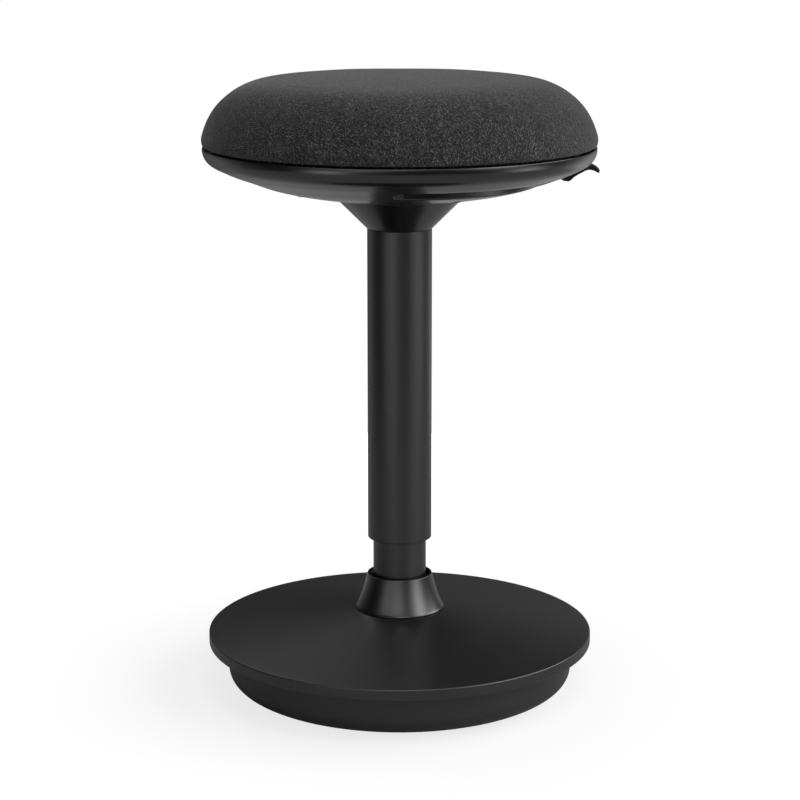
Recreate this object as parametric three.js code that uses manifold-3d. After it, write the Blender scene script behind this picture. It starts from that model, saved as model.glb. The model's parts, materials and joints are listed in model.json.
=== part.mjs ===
// A wobble stool: a round padded seat on a gas spring, over a weighted base with a rounded underside.
// Millimetres, +Z up. The floor is z = 0, the column stands on the Z axis and the stool faces -Y.
import * as THREE from "three";
import { mergeVertices } from "three/addons/utils/BufferGeometryUtils.js";
import Module from "manifold-3d";

const wasm = await Module();
wasm.setup();

// Shared by all pieces
const gap = 0.3; // between pieces that touch, seat in or slide along each other
const overrun = 5; // how far a cutter runs past the face that it opens
const weld = 0.001; // corners nearer than this are one corner
const fineSegments = 38; // round the big shells
const tubeSegments = 26;
const smallSegments = 16;
const boltSegments = 8;

// Base: a rounded dish that rocks, a weight in it and a disc on top
const padRadius = 62; // flat rubber face that the stool stands on
const padThickness = 3.2;
const padLift = 0.8; // how far the pad stands below the dish round it
const dishRadius = 165.2; // at its upper edge
const dishHeight = 47.2;
const dishWall = 4;
const dishFloorRadius = 132; // where the floor turns up into the flank
const dishFloorLift = 2; // height of the floor there, which lets the stool rock
const dishFlankShare = 0.5; // share of the height at which the flank is upright
const dishFlankDraft = 1.4; // how far the flank leans in below its upper edge
const discRadius = 182.3;
const discRim = 10.5;
const discRise = 20.5; // from the rim's top edge to the collar's foot
const discThickness = 4;
const discBand = 24; // width of the solid band behind the rim
const discEdge = 1.5; // rounding of the rim's edges
const ballastRadius = 126;
const ballastThickness = 14;
const ballastBore = 17; // room for the lower end of the piston rod
const bossRadius = 7;
const bossPilotDepth = 30;
const baseScrewCircle = 100; // radius of the circle that the base screws stand on
const baseScrewCount = 6;
const baseScrew = { head: 5.5, headHeight: 2.4, shank: 2.5, length: 44, socket: 2.4, socketDepth: 1.4 };
const socketBolt = { head: 6.5, headHeight: 5, shank: 4, length: 17, socket: 3, socketDepth: 2.5 };
const socketBoltCount = 4;
const flangeRadius = 48;
const flangeThickness = 6;
const socketWall = 3.2;
const socketHeight = 82; // of the socket above the ballast
const socketLedge = 5; // how far the flange reaches in under the column

// Collar: flared trim over the socket
const collarFoot = 42;
const collarTop = 30.6;
const collarHeight = 33.7;
const collarWall = 2;
const collarLip = 1; // upright edge at the foot
const collarWaistShare = 0.4; // how far out the flare's control point lies, between top and foot
const collarBendShare = 0.42; // and how high

// Column and gas spring
const columnRadius = 25;
const columnWall = 2;
const columnFloor = 3;
const columnSpare = 5; // left over the column when the seat is right down
const bushLength = 80;
const bushLip = 2;
const cylinderRadius = 14;
const cylinderWall = 1.8;
const cylinderLip = 1.5;
const cylinderLipReach = 4; // how far the rolled end reaches in under the rod guide
const rodRadius = 5;
const rodEndRadius = 3; // of the stub that carries the piston
const rodTail = 8.4; // of the rod below the column
const rodShoulder = 8.5;
const rodShoulderHeight = 3;
const clipRadius = 9;
const clipThickness = 1.7;
const clipGroove = 1.2; // depth of the groove that the clip snaps into
const washerRadius = 17;
const washerThickness = 1.5;
const ballRadius = 2.5;
const ballCircle = 11.5;
const ballCount = 8;
const cageThickness = 3;
const cageRim = 1.4; // of the cage inside and outside the balls
const bumpRadius = 15;
const bumpHeight = 8;
const guideHeight = 18;
const pistonHeight = 12;
const pistonRadius = 11.6;
const sealHeight = 4;
const sealDepth = 1.6;
const rodNut = 2; // of the stub above the piston
const valveHeight = 40; // of the valve head inside the cylinder
const valveBossRadius = 6;
const valveBossHeight = 3;
const valvePinRadius = 3;
const valvePinProud = 9.6; // above the boss
const valvePinLength = 36;
const valveBoreSpare = 1.5; // under the pin when it is pressed right down
const travelDown = 35; // from the height in the photograph
const travelUp = 205;
const travelSpare = 1; // left between the stops and the pieces at either end of the travel

// Seat tubes and cone
const coverRadius = 30.1;
const coverWall = 2;
const coverLength = 295.5;
const coverLift = 35.5; // from the collar's top to the cover tube's lower end
const glideHeight = 20;
const coneBottom = 30.6;
const coneTop = 60;
const coneHeight = 29;
const coneWall = 3;
const spigotWall = 2;
const spigotLength = 15.8;
const coneFlange = 3.4;
const coneClip = 6; // height of the clip ring that snaps into the pan's hole

// Steel under the seat
const hubRadius = 21;
const hubLift = 2.4; // of the hub above the cone's foot
const hubGrip = 24; // length of the cylinder that the hub holds
const hubChamber = 16; // radius of the room over the valve
const hubTaper = 0.5; // how much narrower the cylinder's top end is
const plateThickness = 3;
const plateCorner = 14;
const plateClearance = 4.67; // from the plate's sides to the pan's screw bosses
const plateBoltInset = 15; // of the bolts from the plate's sides
const plateBolt = { head: 5.5, headHeight: 4, shank: 3, length: 14, socket: 2.6, socketDepth: 2 };
const tNutRadius = 4.4;
const tNutFlange = 9;
const tNutFlangeHeight = 1.3;
const tNutLength = 9.5;

// Seat
const boardInset = 16; // of the board's edge from the pan's
const boardThickness = 12;
const panInset = 0.7; // of the pan's edge from the cushion's
const panDepth = 46;
const panRimDrop = 1; // of the pan's rim below the board's top
const panWall = 3;
const panHole = 50;
const panScrewShare = 0.6; // of the way from the cone's edge to the groove's wall
const panScrew = { head: 5, headHeight: 2.6, shank: 2, length: 28, socket: 2, socketDepth: 1.5 };
const panScrewCount = 4;
const panScrewTurn = 30; // degrees from +X to the first screw
const panBossRadius = 7;
const panBossFloor = 3; // under a screw's head
const grooveWidth = 22;
const grooveInset = 30; // from the pan's edge
const grooveWall = 2.2;
const grooveStart = -92; // degrees from +X, so just left of the front
const grooveEnd = -14;
const coverSeam = 2; // dark line between the pan's rim and the fabric
const cushionRadius = 181.7;
const cushionHeight = 63.5;
const fabric = 1.8;
const hemWidth = 15; // of the fabric turned under the board

// Lever
const leverAzimuth = 8; // degrees from +X towards the back
const leverPivotInset = 5; // of the pivot from the plate's side
const leverWidth = 14;
const leverThickness = 2.5;
const leverTail = 8; // of the arm past the column's axis
const leverDrop = 8.1; // of the arm's end below the pan
const leverEye = 5; // radius of the eye round the pivot pin
const leverSide = 0.5; // between the arm and the bracket's ears
const pivotPinRadius = 3;
const pivotPinHead = 4.6;
const pivotPinHeadHeight = 1.5;
const earThickness = 2.5;
const earLength = 16;
const earBelow = 4.8; // of the ears under the pin's centre
const leverTravel = 2.45; // degrees from rest to the open valve
const slotLead = 12; // from the pivot to the slot's inner end
const slotAbove = 3.1; // between the arm and the pan at the slot's outer end
const slotSide = 2; // beside the arm
const windowAbove = 5;
const windowBelow = 6;
const handleLength = 34;
const handleHeight = 15.2;
const handleProud = 5; // of its tip past the pan's edge
const handleGrip = 11; // length of the arm's end inside it
const handleDrop = 5.9; // of its lowest point below the arm's end
const handleWidth = 20;
const handleEdge = 1;

// Outline of the pan, from its hole to its rim: shares of its radius and of its depth
const panShares = [
  [0.395, 0.033], [0.478, 0.076], [0.559, 0.13], [0.636, 0.196], [0.697, 0.261], [0.743, 0.326],
  [0.786, 0.391], [0.833, 0.457], [0.877, 0.522], [0.913, 0.587], [0.948, 0.652], [0.97, 0.707],
  [0.983, 0.761], [0.993, 0.83], [1, 0.935], [1, 1],
];
// Outline of the cushion, from its lower edge to its crown: shares of its radius and of its height
const cushionShares = [
  [0.9956, 0], [1, 0.094], [0.991, 0.189], [0.977, 0.299], [0.955, 0.425], [0.925, 0.551],
  [0.881, 0.677], [0.829, 0.787], [0.76, 0.877], [0.655, 0.937], [0.523, 0.965], [0.25, 0.997],
];
// Centre line of the lever arm past the slot: shares of its reach and of its drop below the pan
const armShares = [[0.767, 0.426], [0.86, 0.66], [0.92, 0.7], [0.969, 0.925], [1, 1]];
const armLevelShare = 0.613; // of the reach, up to which the arm is level
// Side of the handle, from its inner end round its underside and back over its top: shares of its size
const handleShares = [
  [0, 0.02], [0.16, 0], [0.31, 0.2], [0.49, 0.47], [0.69, 0.67], [0.86, 0.6], [0.98, 0.48],
  [1, 0.63], [0.91, 0.87], [0.81, 0.99], [0.67, 0.97], [0.54, 0.83], [0.37, 0.655], [0.19, 0.48],
  [0, 0.335],
];

// Finishes
const finishes = {
  fabric: { color: 0x3b3b3c, roughness: 0.95, metalness: 0 },
  plastic: { color: 0x2b2b2c, roughness: 0.5, metalness: 0 },
  rubber: { color: 0x1f1f20, roughness: 0.9, metalness: 0 },
  foam: { color: 0xd9d2bd, roughness: 1, metalness: 0 },
  plywood: { color: 0xb98d5c, roughness: 0.8, metalness: 0 },
  blackSteel: { color: 0x26272a, roughness: 0.4, metalness: 0.2 },
  castIron: { color: 0x4a4a4d, roughness: 0.8, metalness: 0.5 },
  steel: { color: 0xa7a9ac, roughness: 0.35, metalness: 0.9 },
  paleNylon: { color: 0xd8d8d2, roughness: 0.5, metalness: 0 },
};

// A closed geometry as a solid: its shared corners are merged and collapsed faces dropped.
function solidOf(geometry) {
  const bare = new THREE.BufferGeometry();
  bare.setAttribute("position", geometry.getAttribute("position"));
  bare.setIndex(geometry.index);
  const merged = mergeVertices(bare, weld);
  const faces = [];
  for (let i = 0; i < merged.index.count; i += 3) {
    const [a, b, c] = merged.index.array.slice(i, i + 3);
    if (a !== b && b !== c && c !== a) faces.push(a, b, c);
  }
  const vertProperties = merged.attributes.position.array;
  const triVerts = Uint32Array.from(faces);
  return new wasm.Manifold(new wasm.Mesh({ numProp: 3, vertProperties, triVerts }));
}

// A solid of revolution round Z. The outline runs outwards along the bottom and then up.
function revolve(outline, segments = tubeSegments) {
  const profile = outline.map(([r, z]) => new THREE.Vector2(r, z));
  return solidOf(new THREE.LatheGeometry(profile, segments).rotateX(Math.PI / 2));
}

// The same for an outline that stays off the axis, which closes on itself.
function ring(outline, segments = tubeSegments) {
  return revolve([...outline, outline[0]], segments);
}

// A plain tube or washer.
function tube(inner, outer, bottom, top, segments = tubeSegments) {
  return ring([[inner, bottom], [outer, bottom], [outer, top], [inner, top]], segments);
}

// An upright cylinder.
function post(radius, bottom, top, [x, y] = [0, 0], segments = smallSegments) {
  const geometry = new THREE.CylinderGeometry(radius, radius, top - bottom, segments).rotateX(Math.PI / 2);
  return solidOf(geometry.translate(x, y, (top + bottom) / 2));
}

// A flat outline in the XY plane, drawn up from bottom to top.
function pillar(shape, bottom, top, curveSegments = boltSegments) {
  const settings = { depth: top - bottom, bevelEnabled: false, curveSegments };
  const geometry = new THREE.ExtrudeGeometry(shape, settings);
  return solidOf(geometry.translate(0, 0, bottom));
}

// An outline in the XZ plane, drawn out to a width that is centred on it.
function slab(outline, width, edge = 0) {
  const shape = new THREE.Shape(outline.map(([x, z]) => new THREE.Vector2(x, z)));
  const bevel = { bevelSize: edge, bevelThickness: edge, bevelOffset: -edge, bevelSegments: 1 };
  const settings = { depth: width - 2 * edge, bevelEnabled: edge > 0, ...bevel };
  const geometry = new THREE.ExtrudeGeometry(shape, settings).rotateX(Math.PI / 2);
  return solidOf(geometry.translate(0, width / 2 - edge, 0));
}

// A cylinder across the lever, on its pivot line.
function crossPost(radius, from, to, x, z) {
  const geometry = new THREE.CylinderGeometry(radius, radius, to - from, smallSegments);
  return solidOf(geometry.translate(x, (from + to) / 2, z));
}

// A rectangle as an outline.
const rectangle = (x0, x1, z0, z1) => [[x0, z0], [x1, z0], [x1, z1], [x0, z1]];

// Points along a soft bend from start to end, drawn towards a third point.
function bend(start, towards, end, steps) {
  const ends = [start, towards, end].map((p) => new THREE.Vector2(...p));
  return new THREE.QuadraticBezierCurve(...ends).getPoints(steps).map((p) => [p.x, p.y]);
}

// An open outline moved to its left by a distance, square to itself.
function inset(outline, distance) {
  return outline.map((point, i) => {
    const before = outline[Math.max(i - 1, 0)];
    const after = outline[Math.min(i + 1, outline.length - 1)];
    const along = new THREE.Vector2(after[0] - before[0], after[1] - before[1]).normalize();
    return [point[0] - along.y * distance, point[1] + along.x * distance];
  });
}

// Every other point of an outline, with both its ends.
function thinned(outline) {
  return outline.filter((_, i) => i % 2 === 0 || i === outline.length - 1);
}

// Height of an outline at a radius, between its points.
function heightAt(outline, radius) {
  const i = outline.findIndex(([r]) => r >= radius);
  const [r0, z0] = outline[i - 1];
  const [r1, z1] = outline[i];
  return z0 + ((z1 - z0) * (radius - r0)) / (r1 - r0);
}

// Radius at which an outline passes a height.
function radiusAt(outline, height) {
  return heightAt(outline.map(([r, z]) => [z, r]), height);
}

// Evenly spaced places on a circle, the first one turned from +X by an angle in degrees.
function circle(radius, count, turn = 0) {
  return Array.from({ length: count }, (_, i) => {
    const angle = THREE.MathUtils.degToRad(turn + (360 * i) / count);
    return [radius * Math.cos(angle), radius * Math.sin(angle)];
  });
}

// A solid with an upright hole at each place.
function drill(body, places, radius, bottom, top) {
  const holes = places.map((place) => post(radius, bottom, top, place, boltSegments));
  return holes.reduce((left, hole) => left.subtract(hole), body);
}

// A socket-head screw: its head sits on z = 0 and its shank points down.
function screw({ head, headHeight, shank, length, socket, socketDepth }) {
  const under = [[0, -length], [shank, -length], [shank, 0], [head, 0]];
  const body = revolve([...under, [head, headHeight], [0, headHeight]], boltSegments);
  return body.subtract(post(socket, headHeight - socketDepth, headHeight + overrun, [0, 0], 6));
}

// A named mesh with its own material.
function node(name, body, finish) {
  const { numProp, vertProperties, triVerts } = body.getMesh();
  const geometry = new THREE.BufferGeometry();
  geometry.setAttribute("position", new THREE.BufferAttribute(vertProperties, numProp));
  geometry.setIndex(new THREE.BufferAttribute(triVerts, 1));
  geometry.computeVertexNormals();
  const mesh = new THREE.Mesh(geometry, new THREE.MeshStandardMaterial(finishes[finish]));
  mesh.name = name;
  return mesh;
}

// Copies of a screw, numbered from 1, with the head's seat at a height. From below, they are turned over.
function screws(name, size, places, height, fromBelow, finish) {
  return places.map(([x, y], i) => {
    const mesh = node(`${name}_${i + 1}`, screw(size), finish);
    mesh.position.set(x, y, height);
    mesh.rotation.x = fromBelow ? Math.PI : 0;
    return mesh;
  });
}

// Heights that the sub-assemblies share
const dishBottom = padThickness + gap;
const dishFloor = dishBottom + dishWall;
const ballastBottom = dishFloor + gap;
const ballastTop = ballastBottom + ballastThickness;
const discBottom = dishHeight + gap;
const discEdgeHeight = discBottom + discRim;
const collarBottom = discEdgeHeight + discRise + gap;
const collarRim = collarBottom + collarHeight;
const socketRadius = columnRadius + gap + socketWall;
const flangeBottom = ballastTop + gap;
const flangeTop = flangeBottom + flangeThickness;
const columnBottom = flangeTop + gap;
const bearingBottom = columnBottom + columnFloor + gap;
const cageMiddle = bearingBottom + washerThickness + gap + ballRadius;
const upperWasher = cageMiddle + ballRadius + gap;
const shoulderBottom = upperWasher + washerThickness + gap;
const bumpBottom = shoulderBottom + rodShoulderHeight + gap;
const cylinderBottom = bumpBottom + bumpHeight + travelSpare + travelDown;
const guideBottom = cylinderBottom + cylinderLip + gap;
const pistonBottom = guideBottom + guideHeight + travelUp + travelSpare;
const coverBottom = collarRim + coverLift;
const coverTop = coverBottom + coverLength;
const coneFoot = coverTop + gap;
const panFoot = coneFoot + coneHeight + gap;
const panRimHeight = panFoot + panDepth;
const boardTop = panRimHeight + panRimDrop;
const boardBottom = boardTop - boardThickness;
const plateBottom = boardBottom - gap - plateThickness;
const hubBottom = coneFoot + hubLift;
const hubTop = plateBottom - gap;
const cylinderTop = hubBottom + hubGrip - gap;
const valveTop = cylinderTop + gap + valveBossHeight;
const pinTop = valveTop + valvePinProud;
const armHeight = pinTop + gap + leverThickness / 2;
const columnTop = hubBottom - travelDown - columnSpare - bushLip;

// Radii of the seat and of what it carries, from the cushion inwards
const panRadius = cushionRadius - panInset;
const boardRadius = panRadius - boardInset;
const grooveOuter = panRadius - grooveInset;
const grooveInner = grooveOuter - grooveWidth;
const panScrewCircle = coneTop + (grooveInner - grooveWall - coneTop) * panScrewShare;
const panScrewAngle = THREE.MathUtils.degToRad(panScrewTurn);
const plateHalf = panScrewCircle * Math.cos(panScrewAngle) - panBossRadius - plateClearance;
const leverPivot = plateHalf - leverPivotInset;
const handleStart = panRadius + handleProud - handleLength;
const leverReach = handleStart + handleGrip;
const valvePinTravel = leverPivot * Math.tan(THREE.MathUtils.degToRad(leverTravel));

// Places and outlines that the sub-assemblies share
const plateBoltPlaces = circle((plateHalf - plateBoltInset) * Math.SQRT2, 4, 45);
const panScrewPlaces = circle(panScrewCircle, panScrewCount, panScrewTurn);
const panSide = panShares.map(([r, z]) => [r * panRadius, panFoot + z * panDepth]);
const panOutline = [[panHole, panFoot], ...panSide];
const panScrewSeat = heightAt(panOutline, panScrewCircle) + panBossFloor;

// Dish, weight, disc, column socket, collar and the fasteners that hold them.
function base() {
  const group = new THREE.Group();
  const screwPlaces = circle(baseScrewCircle, baseScrewCount, 180 / baseScrewCount);
  const boltPlaces = circle((flangeRadius + socketRadius) / 2, socketBoltCount, 180 / socketBoltCount);

  const pad = revolve([[0, 0], [padRadius, 0], [padRadius, padThickness], [0, padThickness]]);
  group.add(node("foot_pad", pad, "rubber"));

  const flankHeight = dishHeight * dishFlankShare;
  const flankRadius = dishRadius - dishFlankDraft;
  const turnPoint = [flankRadius, dishFloorLift + dishWall];
  const turn = bend([dishFloorRadius, dishFloorLift], turnPoint, [flankRadius, flankHeight], 6);
  const outside = [...turn, [dishRadius, dishHeight]];
  const inside = inset(outside, dishWall).filter(([, z]) => z > dishFloor);
  const padRecess = padRadius + gap;
  const dish = revolve([
    [0, dishBottom], [padRecess, dishBottom], [padRecess, padLift], ...outside,
    [dishRadius - dishWall, dishHeight], ...inside.slice(0, -1).reverse(),
    [dishFloorRadius, dishFloor], [0, dishFloor],
  ], fineSegments);
  const headSeat = dishFloor - panBossFloor;
  const drilled = drill(dish, screwPlaces, baseScrew.shank + gap, 0, ballastTop);
  const sunk = drill(drilled, screwPlaces, baseScrew.head + gap, -overrun, headSeat);
  group.add(node("rocker_shell", sunk, "plastic"));

  const plate = tube(ballastBore, ballastRadius, ballastBottom, ballastTop);
  const tapped = drill(plate, boltPlaces, socketBolt.shank + gap, 0, ballastTop + overrun);
  const ballast = drill(tapped, screwPlaces, baseScrew.shank + gap, 0, ballastTop + overrun);
  group.add(node("ballast_plate", ballast, "castIron"));

  const discHole = socketRadius + gap;
  const slope = discRise / (discRadius - collarFoot);
  const topAt = (radius) => discEdgeHeight + slope * (discRadius - Math.max(radius, collarFoot));
  const bandInner = discRadius - discBand;
  const disc = ring([
    [discHole, topAt(discHole) - discThickness], [collarFoot, topAt(collarFoot) - discThickness],
    [bandInner, topAt(bandInner) - discThickness],
    [bandInner, discBottom],
    ...bend([discRadius - discEdge, discBottom], [discRadius, discBottom],
      [discRadius, discBottom + discEdge], 2),
    ...bend([discRadius, discEdgeHeight - discEdge], [discRadius, discEdgeHeight],
      [discRadius - discEdge, topAt(discRadius - discEdge)], 2),
    [collarFoot, topAt(collarFoot)], [discHole, topAt(discHole)],
  ], fineSegments);
  const bossBottom = ballastTop + gap;
  const bossRoot = topAt(baseScrewCircle) - discThickness / 2;
  const bosses = screwPlaces.map((place) => post(bossRadius, bossBottom, bossRoot, place));
  const bossed = bosses.reduce((body, boss) => body.add(boss), disc);
  const piloted = drill(bossed, screwPlaces, baseScrew.shank + gap, 0, bossBottom + bossPilotDepth);
  group.add(node("base_disc", piloted, "plastic"));
  group.add(...screws("base_screw", baseScrew, screwPlaces, headSeat - gap, true, "blackSteel"));

  const socketInner = columnRadius + gap;
  const socketTop = flangeBottom + socketHeight;
  const socket = ring([
    [socketInner - socketLedge, flangeBottom], [flangeRadius, flangeBottom], [flangeRadius, flangeTop],
    [socketRadius, flangeTop], [socketRadius, socketTop], [socketInner, socketTop],
    [socketInner, flangeTop], [socketInner - socketLedge, flangeTop],
  ]);
  const drilledFlange = drill(socket, boltPlaces, socketBolt.shank + gap, 0, flangeTop + gap);
  group.add(node("column_socket", drilledFlange, "steel"));
  group.add(...screws("socket_bolt", socketBolt, boltPlaces, flangeTop + gap, false, "steel"));

  const waist = collarTop + (collarFoot - collarTop) * collarWaistShare;
  const waistPoint = [waist, collarBottom + collarHeight * collarBendShare];
  const flare = bend([collarFoot, collarBottom + collarLip], waistPoint, [collarTop, collarRim], 6);
  const lining = thinned(inset(flare, collarWall));
  group.add(node("collar", ring([
    [collarFoot - collarWall * 2, collarBottom], [collarFoot, collarBottom], ...flare,
    [collarTop - collarWall / 2, collarRim], ...lining.slice(1, -1).reverse(),
  ]), "plastic"));
  return group;
}

// Column tube, guide bush and the fixed half of the swivel bearing.
function column() {
  const group = new THREE.Group();
  const inner = columnRadius - columnWall;
  group.add(node("column_tube", ring([
    [rodRadius + gap, columnBottom], [columnRadius, columnBottom], [columnRadius, columnTop],
    [inner, columnTop],
    [inner, columnBottom + columnFloor], [rodRadius + gap, columnBottom + columnFloor],
  ]), "blackSteel"));

  const bushInner = cylinderRadius + gap;
  const lipBottom = columnTop + gap;
  group.add(node("column_bush", ring([
    [bushInner, lipBottom - bushLength], [inner - gap, lipBottom - bushLength], [inner - gap, lipBottom],
    [columnRadius, lipBottom], [columnRadius, lipBottom + bushLip], [bushInner, lipBottom + bushLip],
  ]), "plastic"));

  const washerHole = rodRadius + gap;
  const washer = tube(washerHole, washerRadius, bearingBottom, bearingBottom + washerThickness);
  group.add(node("thrust_washer_lower", washer, "steel"));

  const reach = ballRadius + cageRim;
  const halfCage = cageThickness / 2;
  const cage = tube(ballCircle - reach, ballCircle + reach, cageMiddle - halfCage, cageMiddle + halfCage);
  const balls = circle(ballCircle, ballCount).map(([x, y]) =>
    solidOf(new THREE.SphereGeometry(ballRadius, 6, 4).rotateX(Math.PI / 2).translate(x, y, cageMiddle)));
  group.add(node("ball_cage", balls.reduce((body, ball) => body.add(ball), cage), "steel"));
  return group;
}

// Piston rod with its piston, seal, bearing washer, bump ring and clip.
function pistonRod() {
  const group = new THREE.Group();
  const clipTop = columnBottom - gap;
  const clipBottom = clipTop - clipThickness;
  const groove = rodRadius - clipGroove;
  const stub = pistonBottom - gap;
  const shoulderTop = shoulderBottom + rodShoulderHeight;
  const rodTop = pistonBottom + pistonHeight + rodNut;
  group.add(node("piston_rod", revolve([
    [0, columnBottom - rodTail], [rodRadius, columnBottom - rodTail], [rodRadius, clipBottom - gap],
    [groove, clipBottom - gap], [groove, clipTop + gap], [rodRadius, clipTop + gap],
    [rodRadius, shoulderBottom], [rodShoulder, shoulderBottom], [rodShoulder, shoulderTop],
    [rodRadius, shoulderTop], [rodRadius, stub], [rodEndRadius, stub], [rodEndRadius, rodTop], [0, rodTop],
  ], smallSegments), "steel"));
  group.add(node("rod_clip", tube(groove + gap, clipRadius, clipBottom, clipTop, smallSegments), "steel"));

  const washer = tube(rodRadius + gap, washerRadius, upperWasher, upperWasher + washerThickness);
  group.add(node("thrust_washer_upper", washer, "steel"));
  const bump = tube(rodRadius + gap, bumpRadius, bumpBottom, bumpBottom + bumpHeight, smallSegments);
  group.add(node("bump_ring", bump, "rubber"));

  const sealBottom = pistonBottom + (pistonHeight - sealHeight) / 2;
  const sealInner = pistonRadius - sealDepth;
  const bore = rodEndRadius + gap;
  group.add(node("piston", ring([
    [bore, pistonBottom], [pistonRadius, pistonBottom], [pistonRadius, sealBottom], [sealInner, sealBottom],
    [sealInner, sealBottom + sealHeight], [pistonRadius, sealBottom + sealHeight],
    [pistonRadius, pistonBottom + pistonHeight], [bore, pistonBottom + pistonHeight],
  ], smallSegments), "steel"));
  const sealOuter = cylinderRadius - cylinderWall - gap;
  const sealTop = sealBottom + sealHeight;
  const seal = tube(sealInner + gap, sealOuter, sealBottom + gap, sealTop - gap, smallSegments);
  group.add(node("piston_seal", seal, "rubber"));
  return group;
}

// Cylinder of the gas spring, with its guide and valve head, and the steel parts that carry the seat on it.
function cylinder() {
  const group = new THREE.Group();
  const inner = cylinderRadius - cylinderWall;
  const neck = cylinderRadius - hubTaper;
  const lip = inner - cylinderLipReach;
  group.add(node("pressure_tube", ring([
    [lip, cylinderBottom], [cylinderRadius, cylinderBottom], [cylinderRadius, hubBottom],
    [neck, cylinderTop], [inner, cylinderTop], [inner, cylinderBottom + cylinderLip],
    [lip, cylinderBottom + cylinderLip],
  ]), "steel"));
  const guide = tube(rodRadius + gap, inner - gap, guideBottom, guideBottom + guideHeight, smallSegments);
  group.add(node("rod_guide", guide, "paleNylon"));

  const bore = valvePinRadius + gap;
  const boreFloor = pinTop - valvePinLength - valvePinTravel - valveBoreSpare;
  const valveBottom = cylinderTop - valveHeight;
  group.add(node("valve_head", revolve([
    [0, valveBottom], [inner - gap, valveBottom], [inner - gap, cylinderTop + gap],
    [valveBossRadius, cylinderTop + gap], [valveBossRadius, valveTop], [bore, valveTop], [bore, boreFloor],
    [0, boreFloor],
  ], smallSegments), "paleNylon"));

  const hub = ring([
    [cylinderRadius + gap, hubBottom], [hubRadius, hubBottom], [hubRadius, hubTop], [hubChamber, hubTop],
    [hubChamber, cylinderTop + gap], [neck + gap, cylinderTop + gap],
  ]);
  const width = leverWidth + 2 * slotSide;
  const opening = rectangle(0, hubRadius + overrun, armHeight - windowBelow, armHeight + windowAbove);
  const window = slab(opening, width).rotate([0, 0, leverAzimuth]);
  group.add(node("taper_hub", hub.subtract(window), "blackSteel"));

  const outline = new THREE.Shape();
  const quarter = Math.PI / 2;
  circle((plateHalf - plateCorner) * Math.SQRT2, 4, 45).forEach(([x, y], i) => {
    outline.absarc(x, y, plateCorner, i * quarter, (i + 1) * quarter, false);
  });
  const plate = pillar(outline, plateBottom, plateBottom + plateThickness, 4);
  const thread = plateBolt.shank + gap;
  const plateDrilled = drill(plate, plateBoltPlaces, thread, plateBottom - overrun, boardTop);
  group.add(node("mechanism_plate", plateDrilled, "blackSteel"));
  group.add(...screws("plate_bolt", plateBolt, plateBoltPlaces, plateBottom - gap, true, "steel"));

  plateBoltPlaces.forEach(([x, y], i) => {
    const nut = node(`t_nut_${i + 1}`, ring([
      [thread, -tNutLength], [tNutRadius, -tNutLength], [tNutRadius, -tNutFlangeHeight],
      [tNutFlange, -tNutFlangeHeight], [tNutFlange, 0], [thread, 0],
    ], boltSegments), "steel");
    nut.position.set(x, y, boardTop);
    group.add(nut);
  });
  return group;
}

// Board, foam and fabric.
function cushion() {
  const group = new THREE.Group();
  const flangeSeat = boardTop - tNutFlangeHeight - gap;
  const pilotEnd = panScrewSeat + panScrew.length;
  const side = [[boardRadius, boardBottom], [boardRadius, boardTop]];
  const board = revolve([[0, boardBottom], ...side, [0, boardTop]], fineSegments);
  const bored = drill(board, plateBoltPlaces, tNutRadius + gap, 0, boardTop + overrun);
  const flanged = drill(bored, plateBoltPlaces, tNutFlange + gap, flangeSeat, boardTop + overrun);
  const screwed = drill(flanged, panScrewPlaces, panScrew.shank + gap, 0, pilotEnd);
  group.add(node("seat_board", screwed, "plywood"));

  const seam = panRimHeight + coverSeam;
  const outside = cushionShares.map(([r, z]) => [r * cushionRadius, seam + z * cushionHeight]);
  const lining = thinned(inset(outside, fabric)).slice(1);
  const crown = seam + cushionHeight;
  const edge = boardRadius + gap;
  const hemTop = boardBottom - gap;
  const lipTop = seam + fabric;
  const lipRadius = cushionRadius * cushionShares[0][0] - fabric;
  group.add(node("seat_cover", revolve([
    [0, crown - fabric], ...lining.toReversed(), [lipRadius, lipTop], [edge, lipTop], [edge, hemTop],
    [edge - hemWidth, hemTop], [edge - hemWidth, hemTop - fabric], [edge + fabric, hemTop - fabric],
    [edge + fabric, seam], ...outside, [0, crown],
  ], fineSegments), "fabric"));

  const slack = fabric / 4;
  const core = inset(lining, slack);
  const foamBottom = boardTop + gap;
  group.add(node("seat_foam", revolve([
    [0, foamBottom], [boardRadius, foamBottom], [boardRadius, lipTop + gap],
    [lipRadius - slack, lipTop + gap], ...core, [0, crown - fabric - slack],
  ], fineSegments), "foam"));
  return group;
}

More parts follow.
